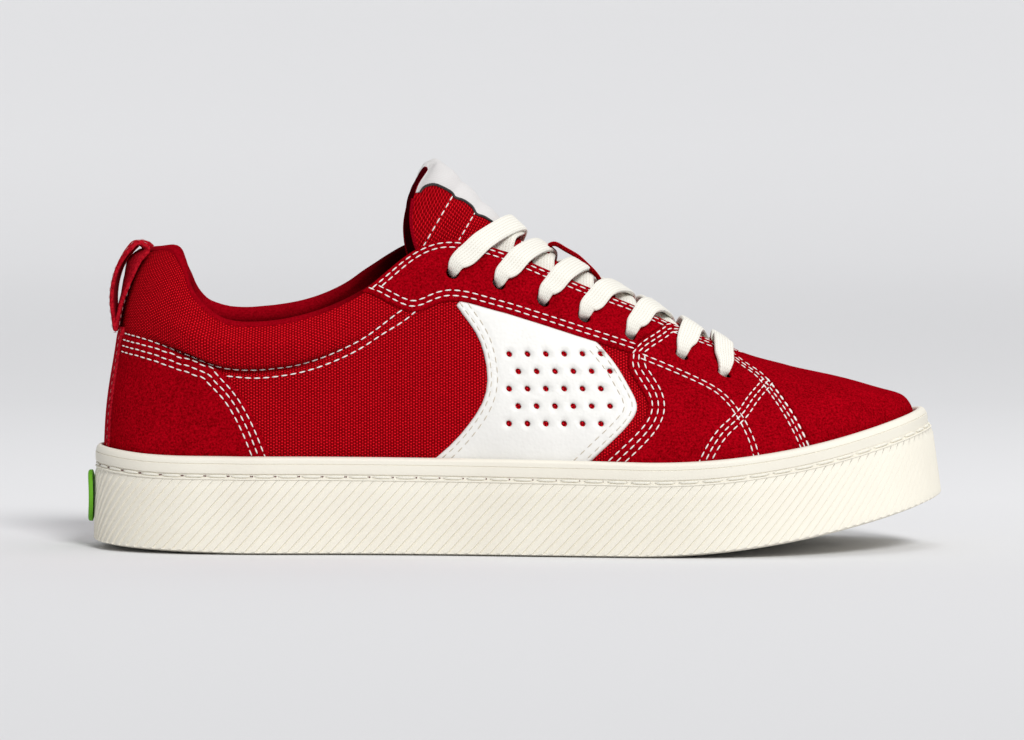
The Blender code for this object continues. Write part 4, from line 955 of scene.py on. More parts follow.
class Finish:
    """A material with its Principled shader and short ways to feed it."""

    def __init__(self, name, colour, roughness, **plain):
        self.material = bpy.data.materials.new(name)
        self.material.use_nodes = True
        self.tree = self.material.node_tree
        self.shader = self.tree.nodes["Principled BSDF"]
        self.shader.inputs["Base Color"].default_value = (*colour, 1.0)
        self.shader.inputs["Roughness"].default_value = roughness
        self.material.diffuse_color = (*colour, 1.0)
        for label, value in plain.items():
            self.shader.inputs[label.replace("_", " ")].default_value = value

    def place(self, kind="Object"):
        return self.tree.nodes.new("ShaderNodeTexCoord").outputs[kind]

    def group(self, group, vector, **values):
        node = add_node(self.tree, "ShaderNodeGroup", node_tree=group, **values)
        self.tree.links.new(vector, node.inputs[0])
        return node.outputs

    def colour(self, share, low, high):
        mixed = blend_colour(self.tree, share, low if hasattr(low, "is_linked") else (*low, 1.0), (*high, 1.0))
        self.tree.links.new(mixed, self.shader.inputs["Base Color"])

    def bump(self, height, distance, strength=1.0):
        node = add_node(self.tree, "ShaderNodeBump", Distance=distance, Strength=strength, Height=height)
        self.tree.links.new(node.outputs["Normal"], self.shader.inputs["Normal"])

    def rough(self, share, low, high):
        self.tree.links.new(calc(self.tree, "MULTIPLY_ADD", share, high - low, low), self.shader.inputs["Roughness"])


RED_SHEEN = (0.95, 0.10, 0.14, 1.0)
THROAT_SHADE = 36.0  # how fast the painted shade of the lining comes up, for each metre towards the toe
THROAT_SHADE_AT = 2.66  # its share in the middle of the shoe, before it is held to 1


def canvas_finish(name, dark, light, warp, weft, depth=0.0003):
    finish = Finish(
        name, light, 0.9, Specular_IOR_Level=0.0, Sheen_Weight=0.02, Sheen_Roughness=0.5, Sheen_Tint=RED_SHEEN
    )
    threads = finish.group(WEAVE, finish.place("UV"), **{"Warp pitch": warp, "Weft pitch": weft})
    # The weave's shade puts painted highlight on the crowns and painted shade in the gaps.
    finish.colour(threads["Shade"], dark, light)
    finish.bump(threads["Height"], depth)
    return finish.material


def suede_finish(name, dark, light, sheen=0.03, deep=None):
    """Suede or a napped lining; with a deep colour, it darkens towards the throat as painted shade."""
    finish = Finish(
        name, light, 1.0, Specular_IOR_Level=0.0, Sheen_Weight=sheen, Sheen_Roughness=0.4, Sheen_Tint=RED_SHEEN
    )
    tree = finish.tree
    fibres = finish.group(NAP, finish.place())
    tone = calc(tree, "MULTIPLY_ADD", fibres["Mottle"], 0.15, calc(tree, "MULTIPLY", fibres["Speckle"], 0.85))
    if deep:
        cloth = blend_colour(tree, tone, (*dark, 1.0), (*light, 1.0))
        split = add_node(tree, "ShaderNodeSeparateXYZ", Vector=finish.place())
        throat_shade_share = calc(tree, "MULTIPLY_ADD", split.outputs["X"], THROAT_SHADE, THROAT_SHADE_AT, clamp=True)
        finish.colour(throat_shade_share, cloth, deep)
    else:
        finish.colour(tone, dark, light)
    finish.bump(fibres["Height"], 0.0004, 0.7)
    return finish.material


def lace_finish():
    finish = Finish("lace_cream", (0.90, 0.88, 0.82), 0.85, Specular_IOR_Level=0.2, Sheen_Weight=0.2)
    knit = finish.group(KNIT, finish.place("UV"))
    # Painted highlight and shade of the knit, from its height.
    finish.colour(knit["Shade"], (0.68, 0.64, 0.54), (0.87, 0.85, 0.78))
    finish.bump(knit["Height"], 0.00014)
    return finish.material


def rubber_finish(name, dark, light, roughness):
    finish = Finish(name, light, roughness)
    fibres = finish.group(NAP, finish.place(), Fine=2600.0, Broad=35.0)
    finish.colour(fibres["Mottle"], dark, light)
    finish.bump(fibres["Height"], 0.00006, 0.6)
    finish.rough(fibres["Mottle"], roughness - 0.05, roughness + 0.07)
    return finish.material


def leather_finish(name, dark, light):
    finish = Finish(name, light, 0.5, Coat_Weight=0.05)
    pebble = add_node(finish.tree, "ShaderNodeTexVoronoi", feature="SMOOTH_F1", Scale=900.0, Vector=finish.place())
    fibres = finish.group(NAP, finish.place(), Broad=60.0)
    finish.colour(fibres["Mottle"], dark, light)
    finish.bump(pebble.outputs["Distance"], 0.00012, 0.6)
    finish.rough(pebble.outputs["Distance"], 0.42, 0.6)
    return finish.material


def label_finish(name, dark, light):
    finish = Finish(name, light, 0.7, Sheen_Weight=0.1)
    threads = finish.group(WEAVE, finish.place("UV"), **{"Warp pitch": 0.0004, "Weft pitch": 0.0004})
    # The weave's shade puts painted highlight on the crowns and painted shade in the gaps.
    finish.colour(threads["Shade"], dark, light)
    finish.bump(threads["Height"], 0.0001)
    return finish.material


def thread_finish(name, colour):
    finish = Finish(name, colour, 0.7, Sheen_Weight=0.2)
    fibres = finish.group(NAP, finish.place(), Fine=3500.0, Broad=400.0)
    finish.colour(fibres["Speckle"], tuple(0.82 * v for v in colour), colour)
    return finish.material


CANVAS = canvas_finish("canvas_red", (0.13, 0.0, 0.001), (0.95, 0.010, 0.022), 0.00098, 0.00056)
BINDING = canvas_finish("binding_red", (0.24, 0.0, 0.006), (0.48, 0.004, 0.018), 0.0006, 0.0005)
SUEDE = suede_finish("suede_red", (0.12, 0.0, 0.001), (0.44, 0.001, 0.008), 0.012)
WEBBING_RED = suede_finish("webbing_red", (0.16, 0.0, 0.004), (0.56, 0.012, 0.024))
LINING = suede_finish("lining_red", (0.20, 0.0, 0.003), (0.44, 0.005, 0.015), 0.08)
# A darker copy of the lining for the upper's inside: painted shade, darkening further towards the throat.
SHADED_LINING = suede_finish("lining_red_inside", (0.17, 0.0, 0.003), (0.33, 0.002, 0.008), 0.04, (0.05, 0.0, 0.001))
# A near-black copy of the lining: painted shade for the back of the tongue.
PAINTED_SHADE_LINING = suede_finish("lining_deep_red", (0.025, 0.0, 0.001), (0.05, 0.0, 0.002), 0.02)
LACE = lace_finish()
RUBBER = rubber_finish("rubber_cream", (0.79, 0.75, 0.65), (0.825, 0.79, 0.69), 0.6)
BADGE_RUBBER = rubber_finish("rubber_green", (0.09, 0.33, 0.0), (0.13, 0.41, 0.002), 0.7)
LEATHER = leather_finish("leather_white", (0.76, 0.75, 0.72), (0.82, 0.81, 0.78))
LABEL_CLOTH = label_finish("label_white", (0.66, 0.64, 0.63), (0.76, 0.74, 0.73))
THREAD = thread_finish("thread_white", (0.90, 0.88, 0.84))
THREAD_BEIGE = thread_finish("thread_beige", (0.60, 0.54, 0.44))
THREAD_CREAM = thread_finish("thread_cream", (0.86, 0.83, 0.73))
THREAD_PINK = thread_finish("thread_pink", (0.62, 0.27, 0.27))
EDGE_BLACK = thread_finish("edge_black", (0.012, 0.01, 0.01))
# Painted shade for the sole's stitch holes.
HOLE_SHADE = thread_finish("hole_dark_red", (0.10, 0.01, 0.01))


# ---- The upper: canvas shell and lining ----
CREASE = 2.0  # depth of the crease under the padded collar
OVERHANG = 2.0  # how far the padding stands out over it
CREASE_ENDS = (-84.0, -52.0)  # from the first of these places to the second, the crease grows shallower
CREASE_FADE = 0.6  # by this share


def creased_faces():
    """The upper's outer face with a crease under its padded collar, its normals and its thickness."""
    points, ways, thick = upper_faces(COLUMNS, ROWS)
    columns = collar_share(raw_grid(COLUMNS, ROWS))[1]
    above = points[..., 2] - edge("pad_seam", columns)
    full = np.clip(edge("puff", columns) / 1.5, 0.0, 1.0) * (1 - CREASE_FADE * smoothstep(*CREASE_ENDS, columns))
    swell = OVERHANG * smoothstep(0.0, 2.6, above) * (1 - smoothstep(7.0, 15.0, above))
    points = points + ways * (full * (swell - CREASE * np.exp(-((above / 1.0) ** 2))))[..., None]
    return points, normals_of(points, True), thick


SKIN_POINTS, SKIN_WAYS, SKIN_THICK = creased_faces()
SKIN = Form(SKIN_POINTS, SKIN_WAYS, True)
ROLL_STEPS = 10  # points over the collar's edge
ROLL_ROWS = 2  # rows of the face under the collar's edge that the rolled lining covers
ROLL_LIFTS = (-0.8, 0.25, 0.1)  # how far the lining stands off the face there, from the lowest row up


def side_columns(side):
    """Column numbers of one side, from the heel to the toe."""
    return np.arange(HALF + 1) if side < 0 else COLUMNS - np.arange(HALF + 1)


def on_skin(points, side):
    """Places of side-view points (x, z) on one side; points beyond the face go to its nearest edge."""
    points = np.asarray(points, float)
    columns = side_columns(side)
    flat = SKIN_POINTS[columns % COLUMNS][:, :, [0, 2]].reshape(-1, 2)
    index = np.array([int(np.argmin(((flat - p) ** 2).sum(axis=1))) for p in points])
    near = np.linalg.norm(flat[index] - points, axis=1) < 2.0
    places = np.column_stack([columns[index // ROWS], index % ROWS]).astype(float)
    low, high = columns.min(), columns.max()
    for _ in range(6):
        off = points - SKIN.at(places)[0][:, [0, 2]]
        column, row = (span[:, [0, 2]] for span in SKIN.spans(places))
        det = column[:, 0] * row[:, 1] - column[:, 1] * row[:, 0]
        sound = near & (np.abs(det) > 0.35 * np.linalg.norm(column, axis=1) * np.linalg.norm(row, axis=1))
        det = np.where(sound, det, 1.0)
        to_column = off[:, 0] * row[:, 1] - off[:, 1] * row[:, 0]
        to_row = column[:, 0] * off[:, 1] - column[:, 1] * off[:, 0]
        move = np.column_stack([to_column / det, to_row / det])
        places += np.clip(move, -1, 1) * sound[:, None]
        places[:, 0] = np.clip(places[:, 0], low, high)
        places[:, 1] = np.clip(places[:, 1], 0, TOP)
    return places


def side_view(points, side, curved=True):
    """Places along a side-view line, curved or straight between its points, without repeats."""
    points = np.asarray(points, float)
    if curved:
        line = curve_through(points, 4)
    else:
        run = run_of(points)
        line = read_line(points, run, np.linspace(0, run[-1], max(int(run[-1] / 1.5), 2)))
    places = on_skin(line, side)
    keep = np.ones(len(places), bool)
    keep[1:] = np.linalg.norm(np.diff(places, axis=0), axis=1) > 0.05
    return places[keep]


def hidden_row(column):
    """The row just under the rim of the cup, for each column."""
    index = np.round(column).astype(int) % COLUMNS
    rims = rim_top(SKIN_POINTS[index, 0, 0]) - 5.0
    return np.array([np.interp(rim, SKIN_POINTS[i, :, 2], np.arange(ROWS)) for i, rim in zip(index, rims)])


def columns_between(first, last_column):
    return np.linspace(first, last_column, max(int(abs(last_column - first)), 2))


def foot_line(first, last_column):
    """Places along the foot of a panel, inside the cup, from one column to another."""
    columns = columns_between(first, last_column)
    return np.column_stack([columns, hidden_row(columns)])


def edge_line(first, last_column):
    """Places along the edge of collar and throat from one column to another."""
    columns = columns_between(first, last_column)
    return np.column_stack([columns, np.full(len(columns), TOP)])


def turned_right(outline):
    """The outline running anticlockwise, so that its left is its inside."""
    x, y = outline.T
    area = (x * np.roll(y, -1) - y * np.roll(x, -1)).sum()
    return outline if area > 0 else outline[::-1]


def eyelet_hole(x, z, side, radius=EYELET_HOLE, count=16):
    """A ring of places round a lace hole."""
    middle = np.repeat(on_skin([(x, z)], side), count, axis=0)
    column, row = SKIN.spans(middle[:1])
    turns = np.arange(count) / count * 2 * math.pi
    size_c, size_r = np.linalg.norm(column), np.linalg.norm(row)
    return middle + np.column_stack([np.cos(turns) / size_c, np.sin(turns) / size_r]) * radius


def rolled_edge(face, back, depth, steps):
    """Points of a half round over the top of a face and its back, for each column."""
    top = unit(face[:, -1] - face[:, -2])
    middle, half = (face[:, -1] + back[:, -1]) / 2, (face[:, -1] - back[:, -1]) / 2
    turns = np.linspace(0, math.pi, steps + 2)[1:-1]
    rolls = [middle + half * math.cos(a) + top * (math.sin(a) * depth / 2)[:, None] for a in turns]
    return np.stack(rolls, axis=1)


def build_shell():
    """The canvas face with its lace holes, the lining that rolls over the collar, and the deep inside."""
    bare = SKIN_POINTS
    inner = bare - SKIN_WAYS * SKIN_THICK[..., None]
    roll = rolled_edge(bare, inner, 0.8 * SKIN_THICK[:, -1], ROLL_STEPS)
    column, row = np.meshgrid(np.arange(COLUMNS), np.arange(ROWS), indexing="ij")
    places = np.column_stack([column.ravel(), row.ravel()]).astype(float)
    open_place = np.zeros(len(places), bool)
    for side in (-1, 1):
        for x, z, _ in EYELETS:
            open_place |= inside(places, eyelet_hole(x, z, side, EYELET_HOLE + 0.3))
    faces = [f for f in grid_faces(COLUMNS, ROWS, True) if not any(open_place[v] for v in f)]
    faces = [f for f in faces if min(v % ROWS for v in f) < ROWS - ROLL_ROWS]
    add_mesh("upper_canvas", bare.reshape(-1, 3), faces, CANVAS, SKIN.cloth.reshape(-1, 2), 0)
    lining = np.concatenate([bare[:, -1 - ROLL_ROWS :], roll, inner[:, ::-1]], axis=1)
    lining[:, : 1 + ROLL_ROWS] += SKIN_WAYS[:, -1 - ROLL_ROWS :] * np.array(ROLL_LIFTS)[:, None]
    rows = lining.shape[1]
    inner_open = np.zeros((COLUMNS, rows), bool)
    inner_open[:, 1 + ROLL_ROWS + ROLL_STEPS :] = open_place.reshape(COLUMNS, ROWS)[:, ::-1]
    inner_open = inner_open.ravel()
    faces = [f for f in grid_faces(COLUMNS, rows, True) if not any(inner_open[v] for v in f)]
    # The lining's colour carries painted shade, deeper towards the throat.
    add_mesh("upper_lining", lining.reshape(-1, 3), faces, SHADED_LINING, None, 0)


# ---- Panels on the upper ----
STITCH_ROWS = {"white": [], "beige": [], "heavy": [], "fine": []}
THREAD_LIFT = {"white": 0.12, "beige": 0.1, "heavy": 0.15, "fine": 0.08}


def sew(line, lift, colour="white", form=None):
    """Notes a stitch row along a line of places."""
    form = form or SKIN
    STITCH_ROWS[colour].append(form.at(form.even(line, 1.0), lift + THREAD_LIFT[colour]))


def trimmed(line, margin, outline):
    """The longest part of a line that lies inside an outline, at least a margin from it."""
    line = SKIN.even(line, 1.0)
    border = SKIN.at(SKIN.even(outline, 1.0, closed=True))[0]
    keep = inside(line, outline) & (nearest(SKIN.at(line)[0], border) > margin)
    runs, start = [], None
    for i, good in enumerate([*keep, False]):
        if good and start is None:
            start = i
        if not good and start is not None:
            runs.append((i - start, start))
            start = None
    if not runs:
        return line[:0]
    length, start = max(runs)
    return line[start : start + length]


def seam_rows(outline, border, distances, meets=()):
    """Lines beside a panel's edge, inside the panel, one for each distance.

    meets holds other edges, each with its own distances and a margin: each row ends where it meets their rows.
    """
    border = SKIN.even(border, 2.0)
    turn = max((1, -1), key=lambda way: inside(SKIN.shifted(border, way * distances[0]), outline).sum())
    rows = []
    for number, distance in enumerate(distances):
        line = SKIN.shifted(border, turn * distance)
        for other, apart, margin in meets:
            line = SKIN.even(line, 0.6)
            points = SKIN.at(SKIN.even(other, 0.6))[0]
            line = line[nearest(SKIN.at(line)[0], points) >= apart[number] + margin]
        line = trimmed(line, min(0.6, 0.5 * distance), outline)
        if len(line) > 3:
            rows.append(line)
    return rows


def strip_column(side):
    """The column where the back strip ends on one side."""
    columns = side_columns(side)[:40]
    middle = SKIN_POINTS[columns % COLUMNS, ROWS // 2, 1]
    return float(np.interp(WEBBING_WIDTH / 2, np.abs(middle - BACK_SEAM), columns.astype(float)))


BACK_SEAM = 2.0  # y of the heel's middle line
COUNTER_THICK, STRIP_THICK, PANEL_THICK, TOE_THICK = 0.9, 1.5, 1.1, 0.95
STRIP_TOP = 78.5  # height of the back strip's upper end
EYESTAY_CORNER = ((-55.0, 93.6), (-52.0, 91.0))  # where its edge turns down from the collar
# Distances of the stitch rows from the edges of the panels.
ROW_PITCH = (1.6, 3.7, 5.8)
DOUBLE_PITCH = (1.8, 3.7)
FACING_PITCH = (1.2, 2.8, 4.4)
THROAT_PITCH = (1.4, 3.2, 5.0)
EYESTAY_PITCH = (1.6, 3.4)
ARC_PITCH = (1.0, 2.5, 4.0)
PERFORATIONS = (6, 6.4, 5, 6.0)  # holes in a line, their step, lines, and the step between two lines
FIRST_PERFORATION = (-3.0, 46.0)
PERFORATION_HOLE = 1.05  # radius
TOE_EDGE_TOP = ((74.0, 70.2), (77.0, 68.2), (81.3, 65.3))  # upper end of the toe cap's edge
HEAVY_TOP = 60.0  # below this height the seam beside the toe is sewn with heavier thread
# Lines sewn through the forefoot to the layers under it, as seen from the side.
VAMP_SEAM = (
    (44.5, 69.0), (53.5, 65.2), (64.0, 60.4), (70.0, 57.0), (74.2, 53.3), (77.0, 49.8), (80.0, 44.8), (82.5, 39.0),
    (84.3, 32.0),
)
TIE_SEAM = ((61.5, 30.0), (66.0, 38.6), (69.9, 43.8), (73.8, 47.2), (77.1, 50.2), (80.4, 54.4), (85.7, 59.6))
COLLAR_SEAM = (
    (-100.7, 62.2), (-91.9, 61.6), (-82.8, 62.4), (-74.1, 64.1), (-65.0, 67.2), (-56.0, 71.4), (-47.2, 77.0),
    (-39.2, 82.0), (-34.0, 86.5),
)


def sewn_panel(name, outline, thick, look, rows, holes=(), colour="white", dip=0.3, sink=0.15):
    """A panel on the upper, with stitches that sink a little below its face along its rows."""
    add_panel(name, SKIN, outline, thick, look, holes, rows, dip=dip)
    for row in rows:
        sew(row, thick - sink, colour)


def build_counter(name, side):
    top = side_view(COUNTER_EDGE[:-1], side)
    strip = strip_column(side)
    keep = (top[:, 0] > strip) if side < 0 else (top[:, 0] < strip)
    top = top[keep]
    outline = turned_right(np.vstack([top, foot_line(top[-1, 0], strip), [(strip, top[0, 1])]]))
    sewn_panel("heel_counter_" + name, outline, COUNTER_THICK, SUEDE, seam_rows(outline, top, ROW_PITCH))


def build_strip():
    first, final = strip_column(1) - COLUMNS, strip_column(-1)
    columns = np.linspace(first, final, 17)
    foot = np.column_stack([columns, hidden_row(columns)])
    top = float(np.interp(STRIP_TOP, SKIN_POINTS[0, :, 2], np.arange(ROWS)))
    outline = np.vstack([foot, np.column_stack([columns, np.full(len(columns), top)])[::-1]])
    rows = []
    for column in (first + 1.7, final - 1.7):
        up = np.linspace(hidden_row(np.array([column]))[0] + 3, top - 1, 30)
        rows.append(np.column_stack([np.full(len(up), column), up]))
    sewn_panel("back_strip", outline, STRIP_THICK, WEBBING_RED, rows, colour="fine")


def build_eyestay(name, side):
    lower = side_view(EYESTAY_EDGE[1:], side)
    seam = side_view(FACING_SEAM, side)[1:]
    begin = on_skin([EYESTAY_EDGE[0]], side)[0, 0]
    throat = edge_line(seam[-1, 0], begin)
    turn, corner = (on_skin([point], side) for point in EYESTAY_CORNER)
    outline = turned_right(np.vstack([corner, lower, seam, throat]))
    holes = [eyelet_hole(x, z, side) for x, z, _ in EYELETS[:5]]
    edge_part = np.vstack([turn, corner, lower])
    rows = seam_rows(outline, edge_part, DOUBLE_PITCH, meets=[(throat, EYESTAY_PITCH, -0.1)])
    rows += seam_rows(outline, throat, EYESTAY_PITCH, meets=[(edge_part, DOUBLE_PITCH, 1.1)])
    sewn_panel("eyestay_" + name, outline, PANEL_THICK, SUEDE, rows, holes)


def toe_arc(side):
    """Places along the toe cap's edge on one side, from the foot up to the middle of the vamp."""
    line = side_view((*TOE_CAP_EDGE[:1:-1], *TOE_EDGE_TOP[::-1]), side)
    return line[line[:, 1] > hidden_row(line[:, 0])]


def build_forefoot(name, side):
    seam = side_view(FACING_SEAM[::-1], side)
    rear = side_view(FOREFOOT_EDGE, side)[1:]
    arc = toe_arc(side)
    front_throat = edge_line(HALF, seam[0, 0])
    foot = foot_line(rear[-1, 0], arc[0, 0])[1:-1]
    outline = turned_right(np.vstack([seam, rear, foot, arc, [(HALF, TOP - 2.0)], front_throat]))
    holes = [eyelet_hole(x, z, side) for x, z, _ in EYELETS[5:]]
    rows = seam_rows(outline, seam, FACING_PITCH, meets=[(rear, ROW_PITCH, 0.9)])
    rows += seam_rows(outline, rear, ROW_PITCH, meets=[(seam, FACING_PITCH, -0.1)])
    met = [(arc, ARC_PITCH, 0.9), (seam, FACING_PITCH[::-1], 0.9)]
    rows += seam_rows(outline, front_throat, THROAT_PITCH, meets=met)
    arc_rows = seam_rows(outline, arc, ARC_PITCH, meets=[(front_throat, THROAT_PITCH, -0.1)])
    ties = [side_view(line, side) for line in (VAMP_SEAM, TIE_SEAM)]
    for tie, distances in zip(ties, ((0.0, -1.8), (0.0, -1.85, -3.7))):
        rows += [trimmed(SKIN.shifted(tie, distance), 0.6, outline) for distance in distances]
    add_panel("forefoot_panel_" + name, SKIN, outline, PANEL_THICK, SUEDE, holes, rows + arc_rows)
    for row in rows + arc_rows[1:]:
        sew(row, 0.95)
    low = SKIN.at(arc_rows[0])[0][:, 2] < HEAVY_TOP
    sew(arc_rows[0][low], 0.95, "heavy")
    sew(arc_rows[0][~low], 0.95)


def build_toe_cap():
    arcs = {side: toe_arc(side) for side in (-1, 1)}
    foot = foot_line(arcs[1][0, 0], arcs[-1][0, 0])
    outline = turned_right(np.vstack([arcs[-1], arcs[1][::-1], foot[1:-1]]))
    add_panel("toe_cap", SKIN, outline, TOE_THICK, SUEDE)


def build_side_panel(name, side):
    rear = side_view(SIDE_PANEL_REAR, side)
    front = side_view(SIDE_PANEL_FRONT, side)
    top = side_view(EYESTAY_EDGE, side)
    low, high = sorted((rear[-1, 0], front[0, 0]))
    lid = top[(top[:, 0] > low) & (top[:, 0] < high)]
    outline = turned_right(np.vstack([rear, lid, front, foot_line(front[-1, 0], rear[0, 0])[1:-1]]))
    rows = seam_rows(outline, front, (1.5, 4.2)) + seam_rows(outline, rear, (1.5, 3.6))
    holes = perforations(side) if side < 0 else ()
    sewn_panel("side_panel_" + name, outline, PANEL_THICK, LEATHER, rows, holes, "beige", 0.18, 0.12)


def perforations(side):
    """Small round holes in even staggered lines over the middle of the leather panel."""
    count, step, lines, rise = PERFORATIONS
    x, z = FIRST_PERFORATION
    spots = [(x + step * (k + line % 2 / 2), z + rise * line) for line in range(lines) for k in range(count)]
    return [eyelet_hole(*spot, side, PERFORATION_HOLE, 10) for spot in spots]


def sew_collar(side):
    """The two rows under the padded collar: one in its crease, one on the cloth below it."""
    columns = np.arange(-141.0, -33.0, 3.0)
    crease = np.column_stack([columns, edge("pad_seam", columns) + 0.5])
    sew(side_view(crease, side, curved=False), 0.25)
    sew(side_view(COLLAR_SEAM, side), 0.1)


build_shell()
for label, hand in SIDES_NAMED.items():
    build_counter(label, hand)
    build_eyestay(label, hand)
    build_forefoot(label, hand)
    build_side_panel(label, hand)
    sew_collar(hand)
build_strip()
build_toe_cap()


# ---- Sole ----
RIB_SHAPE = np.array([0.2, 0.35, 0.5, 0.65, 0.8, 0.95, 1.0, -0.25])  # how far each point of a rib stands out
SEAM_BELOW = 6.9  # depth of the stitched groove under the rim
SEAM_PITCH = 8.2  # a stitch with the gap after it
SEAM_STITCH = 7.3
# Rings above the ribs: depth under the rim, how far each lies in, and its share of the wall's lean.
SHELF = (
    (8.0, 0.05, 0.68), (7.7, 0.05, 0.70), (7.45, 0.75, 0.76), (6.3, 0.8, 0.80), (5.95, 0.05, 0.95), (5.6, -0.1, 1.0),
    (4.2, -0.12, 1.0), (2.8, -0.1, 1.0), (2.6, 0.22, 1.0), (2.4, -0.05, 1.0), (1.9, 0.0, 1.0), (1.4, 0.0, 1.0),
    (1.0, 0.0, 1.0), (0.7, 0.0, 1.0), (0.4, 0.0, 1.0), (0.2, 0.0, 1.0),
)
TREAD = ((14.0, 0.0), (3.6, 0.0), (3.1, 0.55), (0.7, 0.6), (0.3, 0.8))  # under the ribs: how far in, how high
RIM = ((0.75, 0.0), (0.9, 0.15), (1.0, 0.8))  # share of the rim's thickness, and depth under its top


def build_sole():
    """The moulded cup: tread, leaning ribs, stitch groove, rim with its moulded lines, and the cup's inside."""
    count = RIBS * RIB_STEPS
    outline, out = sole_outline(count)
    x = outline[:, 0]
    lean, side, rim, rounding = (wall(name, x) for name in ("lean", "side", "rim", "round"))
    step_shift = RIB_RUN * RIB_STEPS // (RIB_LEVELS - 1)
    full_shift = step_shift * (RIB_LEVELS - 1)
    stands = RIB_SHAPE[np.arange(count) % RIB_STEPS]

    def ring(inset, height, shift=full_shift):
        """A ring inside the outline at a height over the bottom line, that starts shift points further on."""
        plan = outline - out * np.broadcast_to(inset, count)[:, None]
        return np.roll(np.column_stack([plan, bottom(plan[:, 0]) + height]), -shift, axis=0)

    rings = [ring(inset, height, 0) for inset, height in TREAD]
    for level in range(RIB_LEVELS):
        share = level / (RIB_LEVELS - 1)
        shift = step_shift * level
        between = 1 - (1 - smoothstep(0.95, 1.0, share)) * np.roll(stands, shift)
        inset = RIB_DEPTH * (0.15 + 0.85 * between) + 0.65 * share * lean - 0.15
        rings.append(ring(inset, RIB_FOOT + share * (side - RIB_TOP - RIB_FOOT), shift))
    for below, deeper, share in SHELF:
        left = np.clip(1 - below / rounding, 0.0, 1.0)
        rounded = 0.75 * rim * (1 - np.sqrt(1 - left**2))
        rings.append(ring(share * lean + deeper + rounded, side - below))
    rings += [ring(lean + across * rim, side - below) for across, below in RIM]
    rings.append(ring(lean + rim, wall("floor", x)))
    faces = ring_faces(len(rings), count) + end_caps(len(rings), count, full_shift)
    add_mesh("cupsole", np.vstack(rings), faces, RUBBER, None, 35)


def sole_line(below, deeper, count=900):
    """Points and normals of a line round the sole's wall, at a depth below the rim."""
    outline, out = sole_outline(count)
    x = outline[:, 0]
    plan = outline - out * (0.79 * wall("lean", x) + deeper)[:, None]
    points = np.column_stack([plan, bottom(plan[:, 0]) + wall("side", x) - below])
    ways = np.column_stack([out, np.zeros(count)])
    loop = np.arange(count + 1) % count
    return points[loop], ways[loop]


def build_sole_seam():
    """The stitches in the groove of the sole, and dark beads between them that stand for the painted shade of their
    holes.
    """
    seam = sole_line(SEAM_BELOW, 0.62)
    add_stitches("sole_stitches", [seam], THREAD_CREAM, SEAM_PITCH, SEAM_STITCH, 1.15, 1.0)
    points, ways = sole_line(SEAM_BELOW, 0.72, 2000)
    run = run_of(points)
    gaps = np.arange(SEAM_PITCH / 2, run[-1], SEAM_PITCH)
    between, sideways = (read_line(values, run, gaps) for values in (points, ways))
    along = np.column_stack([-sideways[:, 1], sideways[:, 0], np.zeros(len(gaps))])
    rows = [(np.stack([p - a * 0.3, p + a * 0.3]), np.stack([w, w])) for p, a, w in zip(between, along, sideways)]
    # Dark beads where the stitch holes are: painted shade, not holes.
    add_stitches("sole_stitch_holes", rows, HOLE_SHADE, 0.6, 0.6, 0.6, 0.5)


# Rings of the footbed from its underside up: how far in, and height over the cup floor.
FOOTBED = ((0.8, 0.3), (0.0, 1.2), (0.0, 3.2), (0.5, 4.2), (1.6, 4.6), (5.0, 4.4), (12.0, 3.9), (20.0, 3.7))


def build_insole():
    """A moulded footbed: flat foot, rounded border and a lightly cupped top."""
    count = 256
    points, ways = sole_outline(count)
    x = points[:, 0]
    rings = []
    for inset, up in FOOTBED:
        plan = points - ways * (upper_inset(x) + WALL + 0.6 + inset)[:, None]
        rings.append(np.column_stack([plan, bottom(plan[:, 0]) + wall("floor", x) + up]))
    faces = ring_faces(len(rings), count) + end_caps(len(rings), count)
    add_mesh("footbed", np.vstack(rings), faces, LINING, None, 50)


# ---- Tongue ----
TONGUE_STEPS = 9  # steps between two sections
TONGUE_WIDE = 61  # columns across it
QUILT_WAY = (0.866, -0.5)  # the quilt lines lie square to this way, as seen from the side
QUILT_FIRST = -82.5  # how far along it the first quilt line is
QUILT_STEP = 9.8  # from one quilt line to the next
LATERAL_REACH = 0.91  # the lateral edge of the tongue stops this share of the way round
TONGUE_ROLL = 7  # points over the tongue's top
EASED_ROWS = 14  # rows under its top that are smoothed together


def tongue_face():
    """Face of the tongue from its toe end to its top, its normals and thickness."""
    rows = curve_through(np.array(TONGUE), TONGUE_STEPS)[::-1]
    shares = np.linspace(-LATERAL_REACH, 1.0, TONGUE_WIDE)
    grid = np.empty((TONGUE_WIDE, len(rows), 3))
    for i, (x, middle, z, edge_x, edge_z, half, turn, _) in enumerate(rows):
        widest = math.radians(turn)
        angle = shares * widest
        back = (1 - np.cos(angle)) / (1 - math.cos(widest))
        grid[:, i, 0] = x + (edge_x - x) * back
        grid[:, i, 1] = middle + half * np.sin(angle) / math.sin(widest)
        grid[:, i, 2] = z + (edge_z - z) * back
    top = grid[:, -EASED_ROWS:].copy()
    for _ in range(40):
        top[1:-1, 1:-1] = (top[:-2, 1:-1] + top[2:, 1:-1] + top[1:-1, :-2] + top[1:-1, 2:]) / 4
        top[1:-1, -1] += 0.25 * (top[:-2, -1] + top[2:, -1] - 2 * top[1:-1, -1])
    grid[:, -EASED_ROWS:] = top
    ways = normals_of(grid, False)
    if ways[TONGUE_WIDE // 2, 20, 2] < 0:
        ways = -ways
    return grid, ways, rows[:, -1], shares


def quilt_place(grid):
    """How far along the tongue each point is, counted in quilted channels."""
    return (QUILT_WAY[0] * grid[..., 0] + QUILT_WAY[1] * grid[..., 2] - QUILT_FIRST) / QUILT_STEP


